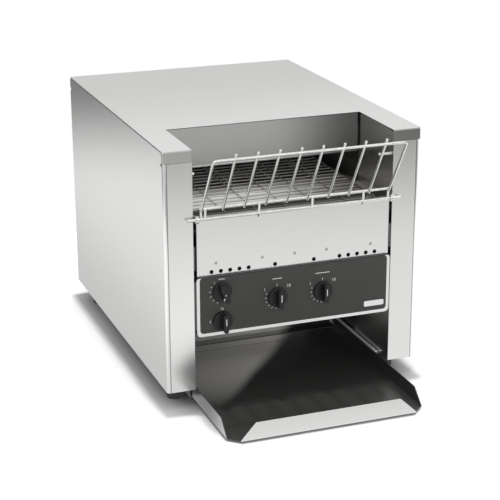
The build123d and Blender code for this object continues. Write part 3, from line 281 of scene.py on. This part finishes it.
plate_steel = brushed("brushed_steel_plain", "x", 0.88, 0.55, metallic=0.2)
lip_painted_shade = (0.10, 0.10, 0.095, 1)
sheet_skin = 0.0005
plate_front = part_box("feed_plate")[0].y
# Painted shade towards the right and the front, and black on the front lip.
paint_opening_shade(plate_steel, (0.16, 0.15, 0.14, 1))
plate_steel.shade(plate_steel.axis("Y") < plate_front + sheet_skin, lip_painted_shade)
dress(plate_steel.material, "feed_plate")

# ---- Heaters ----
# Straight sheathed heaters of grey oxidised steel, four over the belt and four under its top run, sit in
# unglazed ceramic bushes between two folded reflectors. A mineral-fibre blanket lies on the upper one,
# and a snap-disc limiter is screwed on outside the left plate.
sheath = Finish("heater_sheath", Metallic=0.6, Base_Color=(0.10, 0.095, 0.09, 1), Roughness=0.6)
oxide = sheath.noise(90.0, 4.0, 0.6)
sheath.mottle(oxide, (0.10, 0.095, 0.09, 1), (0.28, 0.25, 0.23, 1))
sheath.feed(Roughness=oxide * 0.3 + 0.45)
dress(sheath.material, "upper_elements", "lower_elements")
# The reflectors take the inner steel, dark as painted shade.
dress(inner_steel.material, "upper_reflector", "lower_reflector")
dress(machined.material, "limit_thermostat")

bisque = Finish("unglazed_ceramic", Base_Color=(0.72, 0.69, 0.62, 1), Roughness=0.8)
grit = bisque.noise(700.0, 3.0, 0.6)
bisque.mottle(grit, (0.64, 0.61, 0.54, 1), (0.80, 0.77, 0.70, 1))
bisque.feed(Normal=bisque.bump(grit, 0.00005, 0.5))
dress(bisque.material, "element_insulators")

blanket = Finish("mineral_blanket", Base_Color=(0.62, 0.60, 0.52, 1), Roughness=0.95)
fibres = blanket.noise(220.0, 6.0, 0.7)
blanket.mottle(fibres, (0.50, 0.48, 0.40, 1), (0.74, 0.72, 0.64, 1))
blanket.feed(Normal=blanket.bump(fibres, 0.0006, 0.8))
dress(blanket.material, "top_insulation")

# ---- Controls inside the casing ----
# The bodies of switch, regulators, terminal block, fan and gland are moulded in black plastic and
# fixed to the sheet beside them. The dials' shafts are turned steel, and the speed control's green
# circuit board stands on posts.
moulded = Finish("moulded_black", Base_Color=(0.02, 0.02, 0.021, 1), Roughness=0.5)
skin = moulded.noise(600.0, 3.0, 0.6)
moulded.mottle(skin, (0.014, 0.014, 0.015, 1), (0.032, 0.032, 0.033, 1))
moulded.feed(Roughness=skin * 0.2 + 0.42, Normal=moulded.bump(skin, 0.00003, 0.4))
dress(moulded.material, "speed_control", "power_switch", "top_heat_control", "bottom_heat_control",
      "terminal_block", "cooling_fan", "fan_rotor", "cord_gland")
dress(machined.material, "speed_shaft", "power_shaft", "top_heat_shaft", "bottom_heat_shaft")

board = Finish("circuit_board", Base_Color=(0.02, 0.10, 0.04, 1), Roughness=0.4)
tracks = board.noise(260.0, 2.0, 0.5, board.stretched((1.0, 1.0, 4.0)))
board.mottle(tracks > 0.52, (0.015, 0.075, 0.03, 1), (0.04, 0.16, 0.07, 1))
dress(board.material, "speed_board")

# ---- Toast slide ----
# A curved steel sheet behind and under the belt, which brings the toast back to the front. Its dark
# non-stick coating, like that of the tray, carries a painted sheen: a soft, lighter and slightly metallic
# patch in the left part, whose right border slants back and to the right, left out along the slide's end.
coating = Finish("nonstick_coating", Base_Color=(0.026, 0.026, 0.025, 1), Roughness=0.32,
                 Specular_IOR_Level=0.9)
sheen_painted_light = (0.98, 0.96, 0.93, 1)
spattered_black = (0.03, 0.029, 0.027, 1)
border_x, border_y, border_slope = -0.081, -0.1785, 0.816
border_softness = 0.028
sheen_fade_start, sheen_fade_end, sheen_fade_share = 0.02, 0.16, 0.5
patch_front, patch_full = -0.21, -0.04
spattered_share = 0.3
edge_before, edge_behind = 0.0003, 0.0006
spatter = coating.noise(400.0, 4.0, 0.6)
wear = coating.noise(9.0, 3.0, 0.55)
along = coating.axis("Y") + wear * 0.02
left_of_border = (along - border_y) * border_slope + border_x - coating.axis("X")
# Painted sheen: lighter where the patch lies, fading away from its border.
sheen_patch = (coating.ramp(left_of_border, 0.0, border_softness)
           * (1 - coating.ramp(left_of_border, sheen_fade_start, sheen_fade_end) * sheen_fade_share)
           * coating.ramp(along, patch_front, patch_full))
slide_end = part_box("toast_slide")[0].y
on_slide_edge = ((coating.axis("Y") > slide_end - edge_before)
                 * (coating.axis("Y") < slide_end + edge_behind))
coating.shade(sheen_patch * (1 - on_slide_edge), sheen_painted_light)
coating.shade(wear * spattered_share, spattered_black)
coating.feed(Roughness=spatter * 0.10 + wear * 0.12 + 0.28, Metallic=sheen_patch * 0.3,
             Normal=coating.bump(spatter, 0.00003, 0.4))
dress(coating.material, "toast_slide")

# ---- Side panels ----
# Each side is one sheet of brushed stainless steel, bent round at the front into the pillar's face and
# its inner return. The bend carries a painted highlight with a line of painted shade beside it, and the
# left pillar is painted lighter towards its foot as painted light.


def soften(width, *nodes):
    """Round the folds and cut edges of sheet pieces, so that they catch the light."""
    for node in nodes:
        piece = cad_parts[node]
        weld = piece.modifiers.new("weld", "WELD")
        weld.merge_threshold = 0.00001
        edge = piece.modifiers.new("edge", "BEVEL")
        edge.width = width
        edge.segments = 3
        edge.limit_method = "ANGLE"
        edge.angle_limit = math.radians(50)
        edge.use_clamp_overlap = True
        edge.harden_normals = True


side_steel = brushed("brushed_steel_side", "y", 0.75, 0.24)
foot_painted_light = (0.90, 0.90, 0.89, 1)
bend_painted_highlight = (0.97, 0.97, 0.96, 1)
bend_painted_shade = (0.40, 0.40, 0.39, 1)
bend_width, bend_depth = 0.0042, 0.0036
line_width, line_depth = 0.0014, 0.0010
face_depth = 0.002
foot_full, foot_end, foot_share = 0.06, 0.30, 0.8
side_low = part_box("left_side_panel")[0]
from_side = -side_low.x - abs(side_steel.axis("X"))
from_front = side_steel.axis("Y") - side_low.y
on_bend = (from_side < bend_width) * (from_front < bend_depth)
on_line = (from_side > bend_width) * (from_side < bend_width + line_width) * (from_front < line_depth)
at_left_foot = ((from_front < face_depth) * (side_steel.axis("X") < 0)
                * (1 - side_steel.ramp(side_steel.axis("Z"), foot_full, foot_end)))
# Painted light towards the left pillar's foot, a painted highlight on the bend and painted shade beside it.
side_steel.shade(at_left_foot * foot_share, foot_painted_light)
side_steel.shade(on_bend, bend_painted_highlight)
side_steel.shade(on_line, bend_painted_shade)
dress(side_steel.material, "left_side_panel", "right_side_panel")
soften(0.0005, "left_side_panel", "right_side_panel")

# ---- Top panel ----
# A flat brushed sheet with the feed opening cut out, whose lips turn down over the front, the back and
# the sides. It is painted lighter at the front and darker at the back as painted light and shade, its
# lips are painted darker, most on the right, and the joint between its lips and the side panels is
# painted black, both as painted shade.
top_steel = brushed("brushed_steel_top", "y", 0.76, 0.30)
back_painted_shade = (0.66, 0.66, 0.65, 1)
front_painted_light = (0.88, 0.88, 0.87, 1)
left_lip_painted_shade, right_lip_painted_shade = (0.60, 0.60, 0.59, 1), (0.30, 0.30, 0.29, 1)
joint_painted_shade = (0.02, 0.02, 0.02, 1)
back_start, back_full = -0.02, 0.26
front_full, front_end = -0.16, 0.10
tone_share = 0.7
lip_start, lip_full = 0.001, 0.003
joint_width, joint_start = 0.0035, 0.0055
top_low, top_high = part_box("top_panel")
at_back = top_steel.ramp(top_steel.axis("Y"), back_start, back_full)
at_front = 1 - top_steel.ramp(top_steel.axis("Y"), front_full, front_end)
on_lip = 1 - top_steel.ramp(top_steel.axis("Z"), top_high.z - lip_full, top_high.z - lip_start)
in_joint = (on_lip * (abs(top_steel.axis("X")) > top_high.x - joint_width)
            * (top_steel.axis("Y") > top_low.y + joint_start))
left_to_right = top_steel.ramp(top_steel.axis("X"), top_low.x, top_high.x)
# Painted shade at the back, painted light at the front, painted shade on the lips and in the joint.
top_steel.shade(at_back * tone_share, back_painted_shade)
top_steel.shade(at_front * tone_share, front_painted_light)
top_steel.shade(on_lip, top_steel.blend(left_to_right, left_lip_painted_shade, right_lip_painted_shade))
top_steel.shade(in_joint, joint_painted_shade)
dress(top_steel.material, "top_panel")
soften(0.0009, "top_panel")

# ---- Recess back wall ----
# The wall over the toasting chamber's mouth, a brushed sheet with a hem at its foot and a flange under
# the top panel. Its right half is painted darker as painted shade.
recess_steel = brushed("brushed_steel_recess", "x", 0.60, 0.42)
right_painted_shade = (0.17, 0.17, 0.165, 1)
right_shade_start, right_shade_full = 0.0, 0.14
# Painted shade: darker towards the right.
recess_steel.shade(recess_steel.ramp(recess_steel.axis("X"), right_shade_start, right_shade_full), right_painted_shade)
dress(recess_steel.material, "recess_back_wall")
soften(0.00025, "recess_back_wall")

# ---- Front panel, control box and back panel ----
# Brushed sheets with the grain across. The front panel has a folded top edge with a painted highlight,
# small vent holes ringed with painted shade, ends painted black as painted shade, and five spot-weld
# marks. It fits between the pillars over the control box, a folded stainless box whose strip over the
# plate is painted black and matte as painted shade, and the back panel with its louvres is screwed on
# behind.
front_steel = brushed("brushed_steel_front", "x", 0.77, 0.26)
hem_painted_highlight = (0.97, 0.97, 0.96, 1)
weld_brown = (0.42, 0.41, 0.39, 1)
vent_rim_painted_shade, end_painted_shade, plate_edge_painted_shade = (0.02, 0.02, 0.02, 1), (0.03, 0.03, 0.03, 1), (0.02, 0.02, 0.02, 1)
hem_below, hem_above = 0.0028, 0.001
gap_over_box, gap_in_front = 0.0003, 0.0002
end_width = 0.0010
weld_shares = (0, 0.334, 0.804)
weld_rise, weld_core, weld_rim = 0.017, 0.0014, 0.0030
middle_vent, end_margin, vent_pitch, side_vents = 0.0284, 0.0212, 0.0132, 5
vent_rise, vent_core, vent_rim = 0.005, 0.0027, 0.0031
panel_low, panel_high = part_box("front_panel")
box_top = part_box("control_box")[1].z
plate_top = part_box("control_overlay")[1].z
folded_place = front_steel.node("VectorMath", {"operation": "ABSOLUTE"}, {0: front_steel.place()})


def spots(places, height, core, rim):
    """Round marks in a row on the front panel, the same on its left and right half."""
    marked = 0
    for x in places:
        away = front_steel.node("VectorMath", {"operation": "DISTANCE"},
                                {0: folded_place, 1: (x, -panel_low.y, height)}, "Value")
        marked = marked + (1 - front_steel.ramp(away, core, rim))
    return marked


weld_places = [share * panel_high.x for share in weld_shares]
vent_places = [middle_vent] + [panel_high.x - end_margin - vent_pitch * i for i in range(side_vents)]
up = front_steel.axis("Z")
on_panel = front_steel.axis("Y") < panel_high.y
on_hem = (up > panel_high.z - hem_below) * (up < panel_high.z + hem_above) * on_panel
on_weld = spots(weld_places, box_top + weld_rise, weld_core, weld_rim)
at_vent = spots(vent_places, box_top + vent_rise, vent_core, vent_rim)
at_end = (abs(front_steel.axis("X")) > panel_high.x - end_width) * (up > box_top) * on_panel
over_plate = ((up > plate_top) * (up < box_top + gap_over_box)
              * (front_steel.axis("Y") < panel_low.y - gap_in_front))
# Painted highlight on the hem; painted shade round the vents, at the ends and over the plate.
front_steel.shade(on_hem, hem_painted_highlight)
front_steel.shade(on_weld, weld_brown)
front_steel.shade(at_vent * on_panel, vent_rim_painted_shade)
front_steel.shade(at_end, end_painted_shade)
front_steel.shade(over_plate, plate_edge_painted_shade)
front_steel.feed(Metallic=1 - over_plate)
dress(front_steel.material, "front_panel", "control_box", "back_panel")
soften(0.0005, "control_box")
soften(0.00025, "front_panel")

# ---- Feed rack and other bright steel ----
# The rack is welded from bright stainless rods and turns in flanged bushes, in two ears on the front
# panel. The fan's finger guard and the screws are as bright. Handling leaves the gloss uneven.
bright_wire = Finish("bright_wire", Metallic=1.0, Base_Color=(0.70, 0.70, 0.68, 1), Roughness=0.2)
patchy = bright_wire.noise(60.0, 3.0, 0.6)
bright_wire.mottle(patchy, (0.66, 0.66, 0.64, 1), (0.90, 0.90, 0.88, 1))
bright_wire.feed(Roughness=patchy * 0.22 + 0.10)
dress(bright_wire.material, "feed_rack", "pivot_ears", "pivot_bushes", "fan_guard", "case_screws")

# ---- Control plate and badge ----
# A satin dark grey printed plate is glued on inside the control box's bright rim; the badge is a plain
# rounded plate of satin aluminium with nothing on it.
plate_print = Finish("control_plate_print", Base_Color=(0.040, 0.040, 0.038, 1), Roughness=0.6,
                     Specular_IOR_Level=0.25)
tooth = plate_print.noise(1500.0, 2.0, 0.5)
cloud = plate_print.noise(14.0, 2.0, 0.5)
plate_print.mottle(cloud, (0.031, 0.031, 0.029, 1), (0.038, 0.038, 0.035, 1))
plate_print.feed(Roughness=tooth * 0.12 + cloud * 0.08 + 0.52, Normal=plate_print.bump(tooth, 0.00002, 0.3))
dress(plate_print.material, "control_overlay")

badge_metal = Finish("badge_aluminium", Metallic=1.0, Base_Color=(0.8, 0.8, 0.8, 1), Roughness=0.3)
satin = badge_metal.noise(1.0, 2.0, 0.5, badge_metal.stretched((40.0, 1400.0, 1400.0)))
badge_metal.feed(Roughness=satin * 0.2 + 0.22)
dress(badge_metal.material, "blank_badge")
soften(0.0003, "blank_badge")

# ---- Dials ----
# Four black moulded bar knobs, each with a white mark let into its bar. The scales are printed on the
# plate: ticks and a title bar for speed and the two heats, the numbers 1 and 10 for the heats alone,
# and a ring and a bar for the two positions of the switch.
knob_plastic = Finish("knob_plastic", Base_Color=(0.009, 0.009, 0.009, 1), Roughness=0.38,
                      Specular_IOR_Level=0.3)
grain = knob_plastic.noise(900.0, 2.0, 0.5)
knob_plastic.mottle(grain, (0.006, 0.006, 0.006, 1), (0.013, 0.013, 0.013, 1))
knob_plastic.feed(Roughness=grain * 0.14 + 0.3, Normal=knob_plastic.bump(grain, 0.00002, 0.3))
dress(knob_plastic.material, "speed_knob", "power_knob", "top_heat_knob", "bottom_heat_knob")

white_print = Finish("white_print", Base_Color=(0.62, 0.62, 0.60, 1), Roughness=0.5)
speckle = white_print.noise(2600.0, 2.0, 0.5)
white_print.mottle(speckle, (0.36, 0.36, 0.35, 1), (0.48, 0.48, 0.46, 1))

print_depth = 0.00012
print_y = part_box("control_overlay")[0].y - print_depth / 2
title_height = 0.0010                   # of the bars that stand for titles
tick_count, tick_radius, tick_width, tick_length = 6, 0.0165, 0.0008, 0.0022
zero_radius, zero_length = 0.0168, 0.0034
number_radius, number_height = 0.0218, 0.0044
type_size = number_height * 1.4
switch_ring = {"radius": 0.0019, "width": 0.0006, "steps": 32}
ring_rise = 0.0167
switch_bar_out, switch_bar_width, switch_bar_length = 0.0172, 0.0009, 0.0036
heat_ticks = (186, 290)
heat_numbers = {50: "10", -56: "1"}
scales = {"speed": {"ticks": (202, 322), "title": (0.0177, 0.009), "numbers": {}},
          "top_heat": {"ticks": heat_ticks, "title": (0.0262, 0.014), "numbers": heat_numbers},
          "bottom_heat": {"ticks": heat_ticks, "title": (0.0262, 0.021), "numbers": heat_numbers}}


def span(shape, first, second):
    """Faces between two rows of points."""
    for i in range(len(first) - 1):
        shape.faces.new((first[i], first[i + 1], second[i + 1], second[i]))


def placed(name, shape, material):
    """Put a finished shape in the scene as an object with one material."""
    mesh = bpy.data.meshes.new(name)
    shape.to_mesh(mesh)
    shape.free()
    mesh.materials.append(material)
    made = bpy.data.objects.new(name, mesh)
    bpy.context.scene.collection.objects.link(made)
    return made


def on_plate(centre, turn, radius):
    """Middle of a print beside a dial; turn is clockwise from upright, seen from the front."""
    angle = math.radians(turn)
    return Vector((centre.x + radius * math.sin(angle), print_y, centre.z + radius * math.cos(angle)))


def add_bar(shape, middle, size, turn=0):
    """Upright bar, turned as on_plate() turns."""
    spin = Matrix.Rotation(math.radians(turn), 4, "Y")
    stretch = Matrix.Diagonal((*size, 1))
    bmesh.ops.create_cube(shape, size=1.0, matrix=Matrix.Translation(middle) @ spin @ stretch)


def add_ring(shape, middle, radius, width, steps):
    """Flat printed ring, closed on all sides."""
    rings = []
    for y in (print_depth / 2, -print_depth / 2):
        for reach in (radius, radius - width):
            turns = [2 * math.pi * i / steps for i in range(steps)]
            ring = [shape.verts.new(middle + Vector((reach * math.cos(turn), y, reach * math.sin(turn))))
                    for turn in turns]
            rings.append(ring + ring[:1])
    for first, second in ((0, 2), (2, 3), (3, 1), (1, 0)):
        span(shape, rings[first], rings[second])


def add_number(shape, text, middle):
    """Printed number, thickened a little to both sides."""
    curve = bpy.data.curves.new("number", "FONT")
    curve.body = text
    curve.size = type_size
    curve.extrude = print_depth / 3
    curve.align_x = "CENTER"
    curve.align_y = "CENTER"
    typed = bpy.data.objects.new("number", curve)
    bpy.context.scene.collection.objects.link(typed)
    typed.matrix_world = Matrix.Translation(middle) @ Matrix.Rotation(math.pi / 2, 4, "X")
    bpy.context.view_layer.update()
    mesh = bpy.data.meshes.new_from_object(typed.evaluated_get(bpy.context.evaluated_depsgraph_get()))
    mesh.transform(typed.matrix_world)
    shape.from_mesh(mesh)
    bpy.data.objects.remove(typed)
    bpy.data.meshes.remove(mesh)


dial_places = {}
for name in ("speed", "power", "top_heat", "bottom_heat"):
    low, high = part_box(name + "_knob")
    dial_places[name] = (low + high) / 2
shape = bmesh.new()
add_ring(shape, on_plate(dial_places["power"], 0, ring_rise), **switch_ring)
add_bar(shape, on_plate(dial_places["power"], -90, switch_bar_out),
        (switch_bar_width, print_depth, switch_bar_length))
for name, scale in scales.items():
    centre = dial_places[name]
    first, last = scale["ticks"]
    for i in range(tick_count):
        turn = first + (last - first) * i / (tick_count - 1)
        add_bar(shape, on_plate(centre, turn, tick_radius), (tick_width, print_depth, tick_length), turn)
    if scale["numbers"]:
        add_bar(shape, on_plate(centre, 0, zero_radius), (tick_width, print_depth, zero_length))
    for turn, text in scale["numbers"].items():
        add_number(shape, text, on_plate(centre, turn, number_radius))
    title_rise, title_length = scale["title"]
    add_bar(shape, on_plate(centre, 0, title_rise), (title_length, print_depth, title_height))
dial_marks = placed("dial_marks", shape, white_print.material)
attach(dial_marks, "casing")

mark_width, mark_depth, mark_length = 0.0012, 0.0003, 0.0104
mark_out, mark_corner = 0.00275, 0.0005
rest_turns = {"speed": 202, "power": 0, "top_heat": 0, "bottom_heat": 0}
for name, turn in rest_turns.items():
    centre = dial_places[name]
    angle = math.radians(turn)
    knob_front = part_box(name + "_knob")[0].y
    middle = Vector((centre.x + mark_out * math.sin(angle), knob_front + mark_depth / 2,
                     centre.z + mark_out * math.cos(angle)))
    shape = bmesh.new()
    add_bar(shape, middle, (mark_width, mark_depth, mark_length), turn)
    corners = [edge for edge in shape.edges if edge.calc_length() < mark_depth * 1.3]
    bmesh.ops.bevel(shape, geom=corners, offset=mark_corner, segments=4, affect="EDGES")
    knob_mark = placed(name + "_mark", shape, white_print.material)
    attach(knob_mark, name + "_dial")

# ---- Discharge tray ----
# One folded sheet with clipped front corners and a leaning lip, which slides in the rails. Its inside is
# coated like the slide, painted sheen included, and its outside is bare brushed steel, painted darker
# behind the lip as painted shade.
# It replaces the plain solid of the same size.
tray_steel = brushed("tray_brushed_steel", "x", 0.90, 0.28)
tray_back_painted_shade = (0.16, 0.16, 0.155, 1)
lip_end, back_shade_full = -0.345, -0.22
# Painted shade: darker behind the lip.
tray_steel.shade(tray_steel.ramp(tray_steel.axis("Y"), lip_end, back_shade_full), tray_back_painted_shade)

low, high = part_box("discharge_tray")
sheet = 0.001
bend = 0.002
clip_back, clip_in = 0.014, 0.015
full_wall_back = 0.0365
lip_top_half = 0.1036
lip_lean = 0.004
bend_angles = [math.radians(turn) for turn in (0, 22.5, 45, 67.5, 90)]
wall_top = high.z - sheet
clipped_top = low.z + bend * 1.01       # a hair over the bend, so that the wall's last face has some area
wall_profile = [(high.y, wall_top), ((high.y + low.y) / 2, wall_top), (low.y + full_wall_back, wall_top),
                (low.y + clip_back, clipped_top)]
shape = bmesh.new()
floor_sides = {}
for side in (-1, 1):
    rows = []
    for y, top in wall_profile:
        row = [shape.verts.new((side * high.x, y, top))]
        for angle in bend_angles:
            row.append(shape.verts.new((side * (high.x - bend + bend * math.cos(angle)), y,
                                        low.z + bend - bend * math.sin(angle))))
        rows.append(row)
    for first, second in zip(rows, rows[1:]):
        span(shape, first, second)
    floor_sides[side] = [row[-1] for row in rows]
lip_profile = [(low.y + bend - bend * math.sin(angle), low.z + bend - bend * math.cos(angle),
                high.x - clip_in) for angle in bend_angles]
lip_profile.append((low.y + lip_lean, high.z, lip_top_half))
lip_rows = [[shape.verts.new((across * half, y, z)) for across in (-1, 0, 1)]
            for y, z, half in lip_profile]
for first, second in zip(lip_rows, lip_rows[1:]):
    span(shape, first, second)
floor_face = shape.faces.new(floor_sides[-1] + lip_rows[0] + floor_sides[1][::-1])
bmesh.ops.recalc_face_normals(shape, faces=shape.faces)
if floor_face.normal.z > 0:
    bmesh.ops.reverse_faces(shape, faces=shape.faces)
tray = placed("folded_tray", shape, tray_steel.material)
tray.data.materials.append(coating.material)
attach(tray, "tray")
thick = tray.modifiers.new("sheet", "SOLIDIFY")
thick.thickness = sheet
thick.offset = -1.0
thick.material_offset = 1
thick.material_offset_rim = 1
thick.use_even_offset = True
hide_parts("discharge_tray")

# ---- Where it stands ----
# A plain pale studio floor under soft lamps. Away from the toaster's shadow the floor and the air are
# plain white. Polished metal mirrors them white too, but greyer in a band at the toaster's left and low
# in the air, and dark far out in front and behind, as in a studio with open ends.
floor_size = 9.0
contact_shade_reach = 0.10
shadow_end, white_start = 0.45, 0.9
table_turn_y, table_turn_x, table_shift = 0.94, 0.35, 0.05
ends_start, ends_dark = 0.90, 1.88
band_left, band_left_full, band_right_full, band_right = -0.42, -0.20, -0.17, -0.12
white, contact_painted_shade = (1, 1, 1, 1), (0.10, 0.10, 0.10, 1)
floor_white = (0.96, 0.96, 0.96, 1)
band_grey, ends_grey = (0.70, 0.70, 0.70, 1), (0.22, 0.22, 0.22, 1)
pale = Finish("pale_floor", Base_Color=floor_white, Roughness=0.9)
# Painted contact shadow: the floor's colour goes dark near the toaster, where things close over it.
unoccluded = pale.node("AmbientOcclusion", {"samples": 16}, {"Distance": contact_shade_reach}, "AO")
pale.mottle(unoccluded, contact_painted_shade, floor_white)
seen = pale.node("LightPath", {}, {}, "Is Camera Ray")
mirrored = pale.node("LightPath", {}, {}, "Is Glossy Ray")
from_middle = pale.node("VectorMath", {"operation": "LENGTH"}, {0: pale.place()}, "Value")
far_out = pale.ramp(from_middle, shadow_end, white_start)
across_table = pale.axis("Y") * table_turn_y - pale.axis("X") * table_turn_x
at_table_ends = pale.ramp(abs(across_table - table_shift), ends_start, ends_dark)
in_band = (pale.ramp(pale.axis("X"), band_left, band_left_full)
           * (1 - pale.ramp(pale.axis("X"), band_right_full, band_right)))
banded = pale.blend(mirrored * in_band, white, band_grey)
tint = pale.blend(mirrored * at_table_ends, banded, ends_grey)
glow = pale.node("Emission", {}, {"Color": tint, "Strength": 1.0})
lit_floor = Wire(pale, pale.surface.outputs[0])
mixed = pale.node("MixShader", {}, {0: seen * far_out + mirrored, 1: lit_floor, 2: glow})
pale.join(mixed, pale.tree.nodes["Material Output"].inputs["Surface"])
shape = bmesh.new()
bmesh.ops.create_grid(shape, x_segments=1, y_segments=1, size=floor_size)
studio_floor = placed("studio_floor", shape, pale.material)

world = bpy.data.worlds.new("studio_air")
bpy.context.scene.world = world
world.use_nodes = True
air = Graph(world.node_tree)
air_light = (0.90, 0.90, 0.90, 1)
air_strength = 0.58
horizon_grey = (0.45, 0.45, 0.45, 1)
horizon_end = 0.42
height = air.node("SeparateXYZ", {}, {0: air.node("TexCoord", {}, {}, "Generated")}, "Z")
mirrored = air.node("LightPath", {}, {}, "Is Glossy Ray")
shown = mirrored.maths("MAXIMUM", mirrored, air.node("LightPath", {}, {}, "Is Camera Ray"))
at_horizon = 1 - air.ramp(height, 0.0, horizon_end)
backdrop = air.blend(mirrored * at_horizon, white, horizon_grey)
lighting = air.node("Background", {}, {"Color": air_light, "Strength": air_strength})
showing = air.node("Background", {}, {"Color": backdrop, "Strength": 1.0})
chosen = air.node("MixShader", {}, {0: shown, 1: lighting, 2: showing})
air.join(chosen, world.node_tree.nodes["World Output"].inputs["Surface"])


def softbox(name, place, aim, size, watts, mirrored):
    """Rectangular lamp; mirrored says whether polished metal shows the lamp itself."""
    lamp = bpy.data.lights.new(name, "AREA")
    lamp.shape = "RECTANGLE"
    lamp.size, lamp.size_y = size
    lamp.energy = watts
    holder = bpy.data.objects.new(name, lamp)
    bpy.context.scene.collection.objects.link(holder)
    holder.visible_glossy = mirrored
    holder.location = place
    towards = Vector(aim) - Vector(place)
    holder.rotation_euler = towards.to_track_quat("-Z", "Y").to_euler()


softbox("lamp_over", (0.05, 0.3, 8.0), (0, 0, 0.2), (0.28, 0.28), watts=520, mirrored=False)
softbox("lamp_front", (0.7, -2.4, 1.4), (0, 0, 0.2), (1.6, 1.2), watts=11, mirrored=False)
softbox("lamp_strip", (0.5, -2.2, 1.5), (0, 0, 0.3), (2.0, 0.12), watts=4, mirrored=True)
softbox("lamp_left", (-1.6, -0.8, 1.9), (0, 0, 0.0), (1.2, 0.9), watts=6, mirrored=True)
softbox("lamp_low", (-0.2, -2.0, 0.45), (0, 0, 0.05), (0.8, 0.4), watts=14, mirrored=False)

# ---- Camera ----
# A long lens, above and to the left of the toaster, about two metres away. Its field comes from a focal
# length in pixels of a picture 500 pixels wide.
sensor_width = 36.0
focal_pixels, picture_pixels = 1501.9, 500
camera_place = (-0.7275, -1.9699, 0.8676)
camera_turns = (71.141, 0.187, -20.447)
lens = bpy.data.cameras.new("camera")
lens.sensor_width = sensor_width
lens.lens = focal_pixels / picture_pixels * sensor_width
camera = bpy.data.objects.new("camera", lens)
bpy.context.scene.collection.objects.link(camera)
camera.location = camera_place
camera.rotation_euler = [math.radians(turn) for turn in camera_turns]
bpy.context.scene.camera = camera

bpy.context.scene.view_settings.view_transform = "Standard"
